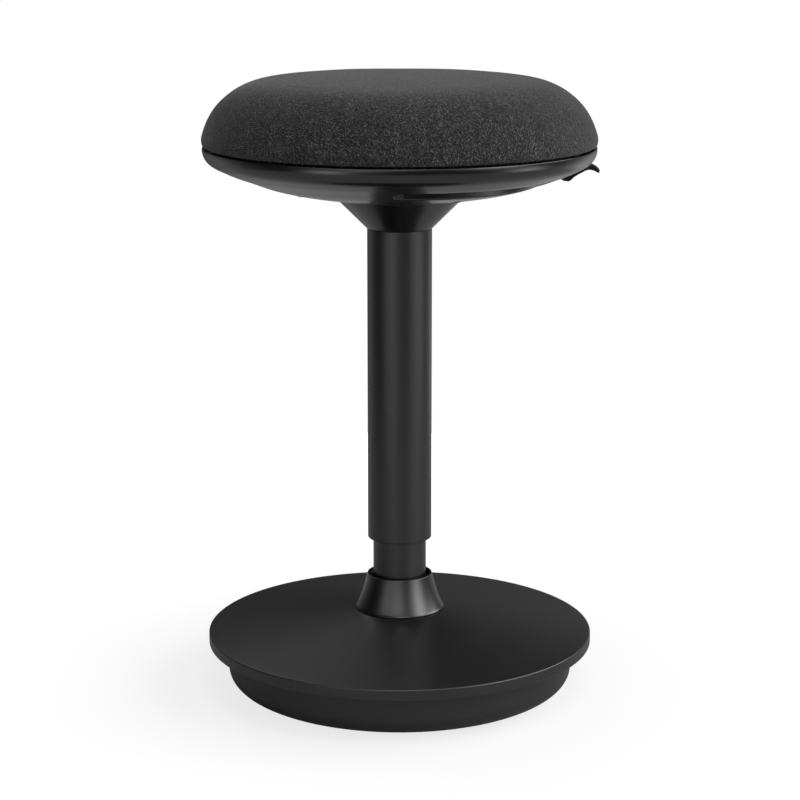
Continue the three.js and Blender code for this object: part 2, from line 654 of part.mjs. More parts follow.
// Plastic pan under the seat, with its finger groove, its screw bosses and the lever's slot.
function pan() {
  const group = new THREE.Group();
  const inside = thinned(inset(panOutline, panWall));
  const above = panRimHeight + overrun;
  const outerForm = revolve([[0, panFoot], ...panOutline, [0, panRimHeight]], fineSegments);
  const innerForm = revolve([
    [0, inside[0][1]], ...inside.slice(0, -1), [panRadius - panWall, above], [0, above],
  ], fineSegments);
  const shell = outerForm.subtract(innerForm);

  const roof = boardBottom - gap - fabric - gap - grooveWall;
  const pocket = outerForm.intersect(pillar(grooveShape(grooveWall), panFoot, roof + grooveWall));
  const grooved = shell.add(pocket).subtract(pillar(grooveShape(0), panFoot - overrun, roof));

  const bossTop = boardBottom - gap;
  const bosses = panScrewPlaces.map((place) => post(panBossRadius, panFoot, bossTop, place));
  const bossed = bosses.reduce((body, boss) => body.add(boss), grooved).intersect(outerForm);
  const drilled = drill(bossed, panScrewPlaces, panScrew.shank + gap, 0, above);
  const sunk = drill(drilled, panScrewPlaces, panScrew.head + gap, 0, panScrewSeat);

  const width = leverWidth + 2 * slotSide;
  const slotEnd = radiusAt(panOutline, armHeight + leverThickness / 2 + slotAbove);
  const opening = rectangle(leverPivot + slotLead, slotEnd, panFoot - overrun, boardBottom - overrun);
  const slot = slab(opening, width);
  const hole = post(panHole, panFoot - overrun, above, [0, 0], tubeSegments);
  group.add(node("seat_pan", sunk.subtract(slot.rotate([0, 0, leverAzimuth])).subtract(hole), "plastic"));
  group.add(...screws("pan_screw", panScrew, panScrewPlaces, panScrewSeat - gap, true, "blackSteel"));
  return group;
}

// Outline of the finger groove in plan, grown by a margin: an arc with round ends.
function grooveShape(margin) {
  const [from, to] = [grooveStart, grooveEnd].map(THREE.MathUtils.degToRad);
  const middle = (grooveInner + grooveOuter) / 2;
  const half = (grooveOuter - grooveInner) / 2;
  const turn = half / middle;
  const first = from + turn;
  const last = to - turn;
  const shape = new THREE.Shape();
  shape.absarc(0, 0, grooveOuter + margin, first, last, false);
  const end = [middle * Math.cos(last), middle * Math.sin(last)];
  shape.absarc(...end, half + margin, last, last + Math.PI, false);
  shape.absarc(0, 0, grooveInner - margin, last, first, true);
  const start = [middle * Math.cos(first), middle * Math.sin(first)];
  shape.absarc(...start, half + margin, first + Math.PI, first + 2 * Math.PI, false);
  return shape;
}

// Cone under the pan, wide cover tube and the guide in its lower end.
function covers() {
  const group = new THREE.Group();
  const tubeInner = coverRadius - coverWall;
  group.add(node("cover_tube", tube(tubeInner, coverRadius, coverBottom, coverTop), "blackSteel"));
  const glide = tube(columnRadius + gap, tubeInner - gap, coverBottom + gap, coverBottom + glideHeight);
  group.add(node("glide_ring", glide, "plastic"));

  const spigotOuter = tubeInner - gap;
  const spigotInner = spigotOuter - spigotWall;
  const wall = (coneWall * Math.hypot(coneTop - coneBottom, coneHeight)) / coneHeight;
  const insideAt = (z) => coneBottom - wall + ((coneTop - coneBottom) * (z - coneFoot)) / coneHeight;
  const spigotRoot = coneFoot + ((spigotInner + wall - coneBottom) * coneHeight) / (coneTop - coneBottom);
  const rim = panFoot - gap;
  const flangeUnder = rim - coneFlange;
  const clip = panHole - gap;
  const clipTop = rim + coneClip;
  const cone = ring([
    [spigotInner, coneFoot - spigotLength], [spigotOuter, coneFoot - spigotLength], [spigotOuter, coneFoot],
    [coneBottom, coneFoot], [coneTop, rim], [clip, rim], [clip, clipTop], [clip - coneWall, clipTop],
    [clip - coneWall, flangeUnder], [insideAt(flangeUnder), flangeUnder], [spigotInner, spigotRoot],
  ]);
  group.add(node("cone_cover", cone, "plastic"));
  return group;
}

// Centre line of the lever arm, seen from its side: level up to the slot, and then it follows the pan.
function armLine() {
  const outer = armShares.map(([r, drop]) => {
    const x = r * leverReach;
    return [x, heightAt(panOutline, x) - drop * leverDrop];
  });
  const level = [-leverTail, leverPivot, armLevelShare * leverReach].map((x) => [x, armHeight]);
  return [...level, ...outer];
}

// The arm's side as a closed outline of a given thickness, with its end a little longer.
function armOutline(thickness, longer = 0) {
  const line = armLine();
  const end = line.length - 1;
  line[end] = [line[end][0] + longer, line[end][1]];
  return [...inset(line, -thickness / 2), ...inset(line, thickness / 2).reverse()];
}

// Lever arm and handle, with their bracket and pin, drawn along +X and then turned to their side.
function lever() {
  const group = new THREE.Group();
  group.rotation.z = THREE.MathUtils.degToRad(leverAzimuth);
  const half = leverWidth / 2;

  const eye = crossPost(leverEye, -half, half, leverPivot, armHeight);
  const eyeBore = crossPost(pivotPinRadius + gap, -half - overrun, half + overrun, leverPivot, armHeight);
  const arm = slab(armOutline(leverThickness), leverWidth).add(eye).subtract(eyeBore);
  group.add(node("lever_arm", arm, "blackSteel"));

  const handleFoot = armLine().at(-1)[1] - handleDrop;
  const sideAt = ([x, z]) => [handleStart + x * handleLength, handleFoot + z * handleHeight];
  const grip = slab(handleShares.map(sideAt), handleWidth, handleEdge);
  const pocket = slab(armOutline(leverThickness + 2 * gap, gap), leverWidth + 2 * gap);
  group.add(node("lever_handle", grip.subtract(pocket), "plastic"));

  const earInner = half + leverSide;
  const earOuter = earInner + earThickness;
  const [earStart, earEnd] = [leverPivot - earLength / 2, leverPivot + earLength / 2];
  const earFoot = armHeight - earBelow;
  const block = slab(rectangle(earStart, earEnd, earFoot, hubTop), 2 * earOuter);
  const room = rectangle(earStart - overrun, earEnd + overrun, earFoot - overrun, hubTop - earThickness);
  const between = slab(room, 2 * earInner);
  const past = earOuter + overrun;
  const pinBore = crossPost(pivotPinRadius + gap, -past, past, leverPivot, armHeight);
  group.add(node("lever_bracket", block.subtract(between).subtract(pinBore), "blackSteel"));

  const pinEnd = earOuter + gap;
  const pin = crossPost(pivotPinRadius, -pinEnd, pinEnd, leverPivot, armHeight);
  const head = crossPost(pivotPinHead, -pinEnd - pivotPinHeadHeight, -pinEnd, leverPivot, armHeight);
  const peen = crossPost(pivotPinHead, pinEnd, pinEnd + pivotPinHeadHeight, leverPivot, armHeight);
  group.add(node("pivot_pin", pin.add(head).add(peen), "steel"));
  return group;
}

// Pin that opens the gas spring's valve when the lever presses it.
function valvePin() {
  return node("valve_pin", post(valvePinRadius, pinTop - valvePinLength, pinTop), "steel");
}

const stool = new THREE.Group();
stool.name = "wobble_stool";
stool.add(base(), column(), pistonRod(), cylinder(), cushion(), pan(), covers(), lever(), valvePin());

export default stool;
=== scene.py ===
"""Looks of a height-adjustable wobble stool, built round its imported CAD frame.

The stool is a round foam seat with a twill cover on a moulded pan, a telescoping column over a gas spring and
a weighted base with a rounded underside. The sizes are in millimetres in the frame of the CAD: +Z up, the
floor at z = 0, the column on the Z axis and the front towards -Y. Every mesh that Blender gets is in metres.
"""

import json
import logging
import math
from dataclasses import dataclass, field
from enum import Enum

import bpy
import numpy as np
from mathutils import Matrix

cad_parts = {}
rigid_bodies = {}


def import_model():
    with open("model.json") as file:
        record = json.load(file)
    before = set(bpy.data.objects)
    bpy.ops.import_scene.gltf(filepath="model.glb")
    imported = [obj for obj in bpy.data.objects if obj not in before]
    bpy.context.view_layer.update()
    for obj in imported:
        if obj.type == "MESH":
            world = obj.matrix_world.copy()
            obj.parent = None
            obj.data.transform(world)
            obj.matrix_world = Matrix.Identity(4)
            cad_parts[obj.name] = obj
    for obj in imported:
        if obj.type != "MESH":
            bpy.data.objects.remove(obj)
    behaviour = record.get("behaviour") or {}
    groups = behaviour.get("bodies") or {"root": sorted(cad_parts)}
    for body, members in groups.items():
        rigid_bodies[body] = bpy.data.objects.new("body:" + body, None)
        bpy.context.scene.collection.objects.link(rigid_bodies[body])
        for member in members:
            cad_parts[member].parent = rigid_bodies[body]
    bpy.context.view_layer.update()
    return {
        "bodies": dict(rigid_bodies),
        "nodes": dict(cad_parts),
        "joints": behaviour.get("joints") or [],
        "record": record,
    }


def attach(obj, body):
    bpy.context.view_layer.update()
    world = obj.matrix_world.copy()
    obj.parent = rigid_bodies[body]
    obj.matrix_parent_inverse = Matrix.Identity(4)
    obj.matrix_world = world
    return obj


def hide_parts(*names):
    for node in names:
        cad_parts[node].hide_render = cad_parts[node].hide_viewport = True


LOG = logging.getLogger("wobble_stool")
MM = 0.001
WELD = 1e-7  # metres; points nearer than this are one point
TINY = 1e-9  # keeps a division by zero away
FULL_TURN = 2 * math.pi
QUARTER_TURN = math.pi / 2
ARC_SHARE = 0.4  # most of the shorter side beside a corner that its arc may take
HOLD_SHARE = 0.08  # share of that side between the arc and the point that holds the flat face flat
STRAIGHT = 0.02  # radians; a corner that turns less than this stays as it is
CUT_EDGE = 35.0  # degrees; where holes were cut, edges over this are shaded sharp
BAND = math.pi / 10  # a wave texture's scale times the distance between its bands


class Body(Enum):
    """CAD bodies that the pieces ride on."""

    BASE = "base"
    ROD = "rod"
    SEAT = "seat"
    LEVER = "lever"
    VALVE_PIN = "valve_pin"


class Slot(Enum):
    """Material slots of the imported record."""

    FABRIC = "seat_fabric"
    PLYWOOD = "plywood"
    PLASTIC = "black_plastic"
    BLACK_STEEL = "black_steel"
    BARE_STEEL = "bare_steel"
    IRON = "ballast_iron"
    RUBBER = "black_rubber"
    NYLON = "pale_nylon"


# Surfaces


def unit(vectors: np.ndarray) -> np.ndarray:
    """Vectors scaled to length one.

    Args:
        vectors: array whose last axis holds the coordinates.

    Returns:
        The same directions; a vector of no length stays as it is.
    """
    length = np.linalg.norm(vectors, axis=-1, keepdims=True)
    return vectors / np.where(length > TINY, length, 1.0)


def step(low: float, high: float, value: np.ndarray) -> np.ndarray:
    """Smooth step: 3t^2 - 2t^3, where t runs from 0 at low to 1 at high.

    Args:
        low: value below which the step is 0.
        high: value above which the step is 1.
        value: where the step is read.

    Returns:
        The step at each value.
    """
    t = np.clip((value - low) / (high - low), 0, 1)
    return t * t * (3 - 2 * t)


def flowing(points: np.ndarray, per_span: int) -> np.ndarray:
    """Smooth open curve through all points.

    Each span is a cubic Hermite: its tangents are the mean of the slopes on both sides of a point, each
    weighed by the length of the other side, so that short and long spans join without a wave.

    Args:
        points: corners of the curve, one row each.
        per_span: number of steps that each span is cut into.

    Returns:
        Points along the curve, with both its ends.
    """
    p = np.asarray(points, float)
    chord = np.linalg.norm(np.diff(p, axis=0), axis=1, keepdims=True)
    slope = np.diff(p, axis=0) / chord
    inner = (slope[:-1] * chord[1:] + slope[1:] * chord[:-1]) / (chord[:-1] + chord[1:])
    tangent = np.vstack([slope[:1], inner, slope[-1:]])
    t = np.linspace(0, 1, per_span, endpoint=False)[None, :, None]
    start, end = p[:-1, None], p[1:, None]
    leave, arrive = tangent[:-1, None] * chord[:, None], tangent[1:, None] * chord[:, None]
    spans = (
        (2 * t**3 - 3 * t**2 + 1) * start
        + (t**3 - 2 * t**2 + t) * leave
        + (3 * t**2 - 2 * t**3) * end
        + (t**3 - t**2) * arrive
    )
    return np.vstack([spans.reshape(-1, p.shape[1]), p[-1:]])


def bend(start: tuple, towards: tuple, end: tuple, steps: int) -> np.ndarray:
    """Quadratic bend: (1-t)^2 start + 2t(1-t) towards + t^2 end.

    Args:
        start: first point.
        towards: point that the bend is drawn to and doesn't reach.
        end: last point.
        steps: number of steps along it.

    Returns:
        Points along the bend, with both ends.
    """
    t = np.linspace(0, 1, steps + 1)[:, None]
    return (1 - t) ** 2 * np.array(start) + 2 * t * (1 - t) * np.array(towards) + t**2 * np.array(end)


def rounded(corners: list, radii: list, steps: int = 5) -> np.ndarray:
    """Closed outline whose corners are arcs.

    A corner of radius r is left r / tan(half its angle) before it and met again as far after it. Between the
    two, the points run on the circle that touches both sides: centre + (sin((1-s)w) a + sin(sw) b) / sin(w),
    where a and b lead from the centre to the touching points and w is the angle between them. One more point
    on each side holds the flat faces flat under smooth shading.

    Args:
        corners: the corners in order, the first not repeated.
        radii: a radius for each corner; 0 leaves it sharp.
        steps: steps along each arc.

    Returns:
        Points of the outline, the first not repeated.
    """
    p, r = np.asarray(corners, float), np.asarray(radii, float)
    back, ahead = np.roll(p, 1, axis=0) - p, np.roll(p, -1, axis=0) - p
    side = np.minimum(np.linalg.norm(back, axis=1), np.linalg.norm(ahead, axis=1))
    u, v = unit(back), unit(ahead)
    half = np.arccos(np.clip((u * v).sum(axis=1), -1, 1)) / 2
    reach = np.minimum(r / np.maximum(np.tan(half), TINY), ARC_SHARE * side)
    centre = p + unit(u + v) * (reach / np.maximum(np.cos(half), TINY))[:, None]
    a, b = p + u * reach[:, None] - centre, p + v * reach[:, None] - centre
    w = np.maximum(math.pi - 2 * half, TINY)[:, None, None]
    s = np.linspace(0, 1, steps + 1)[None, :, None]
    arc = centre[:, None] + (np.sin((1 - s) * w) * a[:, None] + np.sin(s * w) * b[:, None]) / np.sin(w)
    hold = (reach + HOLD_SHARE * side)[:, None]
    whole = np.concatenate([(p + u * hold)[:, None], arc, (p + v * hold)[:, None]], axis=1)
    curved = (r > 0) & (math.pi - 2 * half > STRAIGHT)
    keep = np.repeat(curved[:, None], steps + 3, axis=1)
    whole[~curved] = p[~curved][:, None]
    keep[~curved, 0] = True
    return whole[keep]


def beside(outline: np.ndarray, distance: float) -> np.ndarray:
    """Open outline moved to its left: each point goes along the normal of the chord between its neighbours.

    Args:
        outline: points of (along, up).
        distance: how far it moves.

    Returns:
        The moved points.
    """
    padded = np.vstack([outline[:1], outline, outline[-1:]])
    along = unit(padded[2:] - padded[:-2])
    return outline + distance * np.stack([-along[:, 1], along[:, 0]], axis=1)


def lengths_along(points: np.ndarray) -> np.ndarray:
    """Length of a curve from its first point to each point: the running sum of its chords."""
    return np.cumsum(np.linalg.norm(np.diff(points, axis=0, prepend=points[:1]), axis=1))


def read_at(places: np.ndarray, lengths: np.ndarray, curve: np.ndarray) -> np.ndarray:
    """Points of a plane curve at the given lengths along it, on its chords."""
    return np.stack([np.interp(places, lengths, curve[:, i]) for i in (0, 1)], axis=1)


def turned(x: np.ndarray, y: np.ndarray, z: np.ndarray, degrees: float) -> np.ndarray:
    """Points turned about Z: (x cos a - y sin a, x sin a + y cos a, z).

    Args:
        x: coordinates along the turned axis.
        y: coordinates across it.
        z: heights.
        degrees: how far it is turned from +X.

    Returns:
        The points, with three coordinates last.
    """
    a = math.radians(degrees)
    return np.stack([x * math.cos(a) - y * math.sin(a), x * math.sin(a) + y * math.cos(a), z], axis=-1)


def end_caps(rows: int, columns: int) -> list:
    """Flat faces over the first and the last row of a grid of points.

    Args:
        rows: number of rows.
        columns: number of points in a row.

    Returns:
        Two faces, each with all points of its row.
    """
    last = (rows - 1) * columns
    return [list(range(columns))[::-1], list(range(last, last + columns))]


def in_scene(name: str, data: bpy.types.ID) -> bpy.types.Object:
    """Object at the origin, linked to the scene.

    Args:
        name: the object's name.
        data: its mesh or camera.

    Returns:
        The object.
    """
    item = bpy.data.objects.new(name, data)
    bpy.context.scene.collection.objects.link(item)
    return item


def corners_of(piece: bpy.types.Object) -> np.ndarray:
    """A piece's vertices in metres.

    Args:
        piece: what is read.

    Returns:
        One row of three coordinates per vertex.
    """
    place = np.zeros(len(piece.data.vertices) * 3)
    piece.data.vertices.foreach_get("co", place)
    return place.reshape(-1, 3)


def put_corners(piece: bpy.types.Object, place: np.ndarray) -> None:
    """Gives a piece's vertices new places, in metres."""
    piece.data.vertices.foreach_set("co", place.ravel())
    piece.data.update()


def grid_faces(rows: int, columns: int, closed_rows: bool, closed_columns: bool) -> np.ndarray:
    """Quads between neighbouring rows and columns: corner (i, j) is point i * columns + j.

    Args:
        rows: number of rows of points.
        columns: number of columns of points.
        closed_rows: whether the last row joins the first.
        closed_columns: whether the last column joins the first.

    Returns:
        One quad of four point numbers per row of the array.
    """
    i = np.arange(rows if closed_rows else rows - 1)[:, None]
    j = np.arange(columns if closed_columns else columns - 1)[None, :]
    below, right = (i + 1) % rows * columns, (j + 1) % columns
    i = i * columns
    return np.stack([i + j, i + right, below + right, below + j], axis=-1).reshape(-1, 4)


def welded(points: np.ndarray, quads: np.ndarray) -> tuple[np.ndarray, list]:
    """Coincident points become one, and a quad with two equal corners becomes a triangle.

    Args:
        points: all corners, in metres.
        quads: faces as four point numbers.

    Returns:
        The points that are left, and the faces as lists.
    """
    keys = np.round(points / WELD).astype(np.int64)
    _, first, number = np.unique(keys, axis=0, return_index=True, return_inverse=True)
    faces = number.reshape(-1)[quads]
    same = faces == np.roll(faces, -1, axis=1)
    whole = faces[same.sum(axis=1) == 0].tolist()
    pinched, where = faces[same.sum(axis=1) == 1], same[same.sum(axis=1) == 1]
    order = (np.argmax(where, axis=1)[:, None] + np.arange(1, 4)) % 4
    triangles = np.take_along_axis(pinched, order, axis=1).tolist()
    return points[first], whole + triangles


def solid(name: str, points: np.ndarray, quads: np.ndarray, caps: list | None = None) -> bpy.types.Object:
    """Closed mesh piece, its faces outwards. Without caps its coincident points are welded.

    The volume is the sum of a . (b x c) / 6 over its triangles; where it is negative the faces are turned.

    Args:
        name: the piece's name.
        points: all corners in millimetres, any shape with three coordinates last.
        quads: faces as four point numbers.
        caps: further faces with any number of corners.

    Returns:
        The piece, linked to the scene, smooth-shaded, at the origin.
    """
    corners, faces = np.asarray(points, float).reshape(-1, 3) * MM, quads
    if caps is not None:
        faces = quads.tolist() + caps
    else:
        corners, faces = welded(corners, quads)
    mesh = bpy.data.meshes.new(name)
    mesh.from_pydata(corners.tolist(), [], faces)
    mesh.validate()
    mesh.calc_loop_triangles()
    triangles = np.zeros(len(mesh.loop_triangles) * 3, np.int32)
    mesh.loop_triangles.foreach_get("vertices", triangles)
    a, b, c = corners[triangles.reshape(-1, 3)].transpose(1, 0, 2)
    if (a * np.cross(b, c)).sum() < 0:
        mesh.flip_normals()
    mesh.shade_smooth()
    return in_scene(name, mesh)


def revolved(name: str, outline: np.ndarray, segments: int) -> bpy.types.Object:
    """Solid of revolution: (radius cos a, radius sin a, height) over a full turn of a.

    Args:
        name: the piece's name.
        outline: points of (radius, height) in millimetres; it closes on itself, on the axis or off it.
        segments: steps round the axis.

    Returns:
        The piece.
    """
    angle = np.arange(segments) * FULL_TURN / segments
    radius, height = np.asarray(outline, float).T
    shape = (segments, len(radius))
    x, y = np.outer(np.cos(angle), radius), np.outer(np.sin(angle), radius)
    points = np.stack([x, y, np.broadcast_to(height, shape)], axis=-1)
    quads = grid_faces(*shape, True, True)
    on_axis = radius[quads % len(radius)] == 0
    return solid(name, points, quads[on_axis.sum(axis=1) < 4])


def swept(name: str, side: np.ndarray, stations: list, turn: float) -> bpy.types.Object:
    """Solid drawn across its width: the side outline at each station, drawn in by that station's inset.

    A point is (x, y, z) = (side - inset * outward normal, station), turned about Z.

    Args:
        name: the piece's name.
        side: closed outline of (x, z) in millimetres.
        stations: pairs of (y, inset) across the width.
        turn: degrees from +X.

    Returns:
        The piece, its ends closed by flat caps.
    """
    along = unit(np.roll(side, -1, axis=0) - np.roll(side, 1, axis=0))
    normal = np.stack([along[:, 1], -along[:, 0]], axis=1)
    x, z = side.T
    area = (x * np.roll(z, -1) - np.roll(x, -1) * z).sum()
    y, inset = np.array(stations, float).T
    drawn = side[None] - np.sign(area) * inset[:, None, None] * normal[None]
    points = turned(drawn[..., 0], np.broadcast_to(y[:, None], drawn.shape[:2]), drawn[..., 1], turn)
    return solid(name, points, grid_faces(len(y), len(side), False, True), end_caps(len(y), len(side)))


def joined(first: bpy.types.Object, *others: bpy.types.Object) -> bpy.types.Object:
    """One piece made of several closed shells; the others go into the first.

    Args:
        first: piece that keeps its name.
        others: pieces that are taken into it.

    Returns:
        The first piece.
    """
    with bpy.context.temp_override(active_object=first, selected_editable_objects=[first, *others]):
        bpy.ops.object.join()
    return first


def cut(piece: bpy.types.Object, cutters: list[bpy.types.Object]) -> bpy.types.Object:
    """Takes the cutters' shapes out of a piece and removes them; edges over `CUT_EDGE` are shaded sharp.

    Args:
        piece: what is cut.
        cutters: closed shapes that don't touch each other.

    Returns:
        The cut piece.
    """
    tool = joined(*cutters)
    modifier = piece.modifiers.new("cut", "BOOLEAN")
    modifier.operation, modifier.solver, modifier.object = "DIFFERENCE", "EXACT", tool
    settle(piece)
    bpy.data.objects.remove(tool)
    piece.data.set_sharp_from_angle(angle=math.radians(CUT_EDGE))
    return piece


def settle(piece: bpy.types.Object) -> None:
    """Applies all of a piece's modifiers to its mesh."""
    graph = bpy.context.evaluated_depsgraph_get()
    mesh = bpy.data.meshes.new_from_object(piece.evaluated_get(graph), depsgraph=graph)
    old = piece.data
    piece.modifiers.clear()
    piece.data = mesh
    mesh.name = piece.name
    bpy.data.meshes.remove(old)


# Finishes


def linear(code: str) -> tuple[float, float, float, float]:
    """Scene-linear colour of an sRGB hex value.

    A value up to 0.04045 is divided by 12.92; over it, it is ((value + 0.055) / 1.055)^2.4.

    Args:
        code: six hex digits.

    Returns:
        Red, green, blue and an alpha of one.
    """
    value = np.array([int(code[i : i + 2], 16) for i in (0, 2, 4)]) / 255
    light = np.where(value <= 0.04045, value / 12.92, ((value + 0.055) / 1.055) ** 2.4)
    return (*light.tolist(), 1.0)


def bare_tree(owner: bpy.types.ID) -> bpy.types.NodeTree:
    """Turns on the nodes of a material or world and empties them.

    Args:
        owner: the material or world.

    Returns:
        Its empty tree.
    """
    owner.use_nodes = True
    owner.node_tree.nodes.clear()
    return owner.node_tree


def add_node(
    tree: bpy.types.NodeTree, kind: str, inputs: dict | None = None, stops: tuple = (), **settings: object
) -> bpy.types.Node:
    """Adds a node with its settings, and sets or links its sockets.

    Args:
        tree: where the node goes.
        kind: Blender's name for the node.
        inputs: for each input, by name or number, a value, a socket, or a node whose first output is meant.
        stops: a ramp's pairs of place and hex colour, from 0 to 1.
        settings: properties of the node.

    Returns:
        The node.
    """
    node = tree.nodes.new(kind)
    for name, value in settings.items():
        setattr(node, name, value)
    for key, value in (inputs or {}).items():
        source = value.outputs[0] if isinstance(value, bpy.types.Node) else value
        if isinstance(source, bpy.types.NodeSocket):
            tree.links.new(source, node.inputs[key])
        else:
            node.inputs[key].default_value = source
    for _ in stops[2:]:
        node.color_ramp.elements.new(0.5)
    for i, (place, code) in enumerate(stops):
        node.color_ramp.elements[i].position = place
        node.color_ramp.elements[i].color = linear(code)
    return node


@dataclass(frozen=True)
class Finish:
    """A finish: what the material is, and how its surface was made."""

    name: str
    roughness: float = 0.5
    ior: float = 1.5
    specular: float = 0.5
    metallic: float = 0.0
    sheen: float = 0.0
    depth: float = 0.01  # mm from the lowest to the highest place of its relief
    tones: tuple = ((0.0, "808080"), (1.0, "808080"))  # hex colours, each at its value of the pattern

    def material(self) -> bpy.types.Material:
        """The finish as a Blender material: the pattern's tone on a ramp, and its height as a bump.

        Returns:
            The material, with what is the same all over set on the shader's own sockets.
        """
        material = bpy.data.materials.new(self.name)
        tree = bare_tree(material)
        shader = add_node(tree, "ShaderNodeBsdfPrincipled", {
            "Roughness": self.roughness, "IOR": self.ior, "Specular IOR Level": self.specular,
            "Metallic": self.metallic, "Sheen Weight": self.sheen})
        add_node(tree, "ShaderNodeOutputMaterial", {"Surface": shader})
        tone, height = self.paint(tree, shader)
        colour = add_node(tree, "ShaderNodeValToRGB", {"Fac": tone}, stops=self.tones)
        bump = add_node(tree, "ShaderNodeBump", {"Height": height, "Distance": self.depth * MM, "Strength": 1.0})
        tree.links.new(colour.outputs["Color"], shader.inputs["Base Color"])
        tree.links.new(bump.outputs["Normal"], shader.inputs["Normal"])
        return material

    def paint(self, tree: bpy.types.NodeTree, shader: bpy.types.Node) -> tuple:
        """Adds the finish's own pattern.

        Args:
            tree: the material's nodes.
            shader: the principled shader, for a pattern that changes more than colour and relief.

        Returns:
            The pattern's tone and its height, each a node or a socket with values from 0 to 1.
        """
        raise NotImplementedError


@dataclass(frozen=True)
class TwillFabric(Finish):
    """Polyester twill, woven from mixed yarns: dark, with diagonal ribs and a heather of lighter flecks."""

    sheen: float = 0.18
    depth: float = 0.12
    tones: tuple = ((0.15, "1c1c1c"), (0.7, "3d3d3d"), (1.0, "6e6e6e"))
    diagonal: float = -45.0  # degrees that the pattern is turned, so that the ribs run aslant
    rib: float = 1.85  # mm between ribs, as the photograph shows them
    rib_tone: float = 0.25
    yarn: float = 0.62  # mm between the flecks of the mixed yarns; the real ones are finer and would not show
    yarn_stretch: float = 0.6  # pace of the flecks along the ribs, against their pace across
    yarn_tone: tuple = (1.35, -0.4)  # the flecks' own values are multiplied and added to, for more contrast
    pull: float = 45.0  # mm between changes along a pull in the stretched cover
    pull_turns: float = 22.0  # radius of the circle that the pulls are read on; more makes them narrower
    pull_tone: float = 0.35
    drop: float = 0.2  # taken off the sum of the three

    def paint(self, tree: bpy.types.NodeTree, shader: bpy.types.Node) -> tuple:
        """Ribs from a wave across the diagonal, flecks from cells drawn out along it, and faint pulls.

        The height is the flecks plus the ribs, each times its tone. The tone adds the pulls, less the drop.

        Args:
            tree: the material's nodes.
            shader: the principled shader, which needs nothing more.

        Returns:
            The tone and the height.
        """
        weave = add_node(tree, "ShaderNodeUVMap", uv_map="weave")
        turn = (0, 0, math.radians(self.diagonal))
        diagonal = add_node(tree, "ShaderNodeMapping", {"Vector": weave, "Rotation": turn})
        wave = {"Vector": diagonal, "Scale": BAND / (self.rib * MM), "Distortion": 1.2, "Detail": 2.0}
        wave["Detail Scale"] = 3.0
        ribs = add_node(tree, "ShaderNodeTexWave", wave, wave_type="BANDS", bands_direction="X")
        drawn = add_node(tree, "ShaderNodeMapping", {"Vector": diagonal, "Scale": (1.0, self.yarn_stretch, 1.0)})
        cells = {"Vector": drawn, "Scale": 1 / (self.yarn * MM)}
        flecks = add_node(tree, "ShaderNodeTexVoronoi", cells, feature="F1").outputs["Color"]
        flecks = {0: flecks, 1: self.yarn_tone[0], 2: self.yarn_tone[1]}
        flecks = add_node(tree, "ShaderNodeMath", flecks, operation="MULTIPLY_ADD")
        cloth = {0: ribs.outputs["Fac"], 1: self.rib_tone, 2: flecks}
        cloth = add_node(tree, "ShaderNodeMath", cloth, operation="MULTIPLY_ADD")
        worn = {0: self.pulls(tree, weave), 1: self.pull_tone, 2: cloth}
        worn = add_node(tree, "ShaderNodeMath", worn, operation="MULTIPLY_ADD")
        tone = add_node(tree, "ShaderNodeMath", {0: worn, 1: self.drop}, operation="SUBTRACT", use_clamp=True)
        return tone, cloth

    def pulls(self, tree: bpy.types.NodeTree, weave: bpy.types.Node) -> bpy.types.Node:
        """Streaks from the crown to the rim, as a stretched cover shows them.

        Noise is read on a circle of `pull_turns`, at the angle round the seat, and at one step of height for
        each `pull` millimetres from the crown.

        Args:
            tree: the material's nodes.
            weave: the cloth's own plane, in metres from the crown.

        Returns:
            A node with values round 0.5.
        """
        way = add_node(tree, "ShaderNodeVectorMath", {0: weave}, operation="NORMALIZE")
        reach = add_node(tree, "ShaderNodeVectorMath", {0: weave}, operation="LENGTH").outputs["Value"]
        along = add_node(tree, "ShaderNodeMath", {0: reach, 1: 1 / (self.pull * MM)}, operation="MULTIPLY")
        height = add_node(tree, "ShaderNodeCombineXYZ", {"Z": along})
        place = {0: way, 1: (self.pull_turns, self.pull_turns, 0.0), 2: height}
        place = add_node(tree, "ShaderNodeVectorMath", place, operation="MULTIPLY_ADD")
        return add_node(tree, "ShaderNodeTexNoise", {"Vector": place, "Scale": 1.0, "Detail": 3.0})


@dataclass(frozen=True)
class MouldedPlastic(Finish):
    """Polypropylene, moulded in a spark-eroded tool: a fine even grain that breaks up its soft shine."""

    depth: float = 0.025
    tones: tuple = ((0.3, "050505"), (0.7, "070707"))
    grain: float = 0.7  # mm; the real grain is near 0.3 mm and is drawn coarser so that it shows
    cloud: float = 45.0  # mm between the faint clouds
    shine: tuple = (-0.03, 0.04)  # added to the roughness from one cloud to the next

    def paint(self, tree: bpy.types.NodeTree, shader: bpy.types.Node) -> tuple:
        """Grain from fine noise, and faint clouds in the colour and the shine from broad noise.

        Args:
            tree: the material's nodes.
            shader: the principled shader, whose roughness follows the clouds.

        Returns:
            The clouds and the grain.
        """
        place = add_node(tree, "ShaderNodeTexCoord").outputs["Object"]
        fine = {"Vector": place, "Scale": 1 / (self.grain * MM), "Detail": 2.0, "Roughness": 0.7}
        broad = {"Vector": place, "Scale": 1 / (self.cloud * MM), "Detail": 4.0, "Roughness": 0.55}
        clouds = add_node(tree, "ShaderNodeTexNoise", broad)
        ends = {0: clouds, 3: self.roughness + self.shine[0], 4: self.roughness + self.shine[1]}
        shine = add_node(tree, "ShaderNodeMapRange", ends)
        tree.links.new(shine.outputs[0], shader.inputs["Roughness"])
        return clouds, add_node(tree, "ShaderNodeTexNoise", fine)


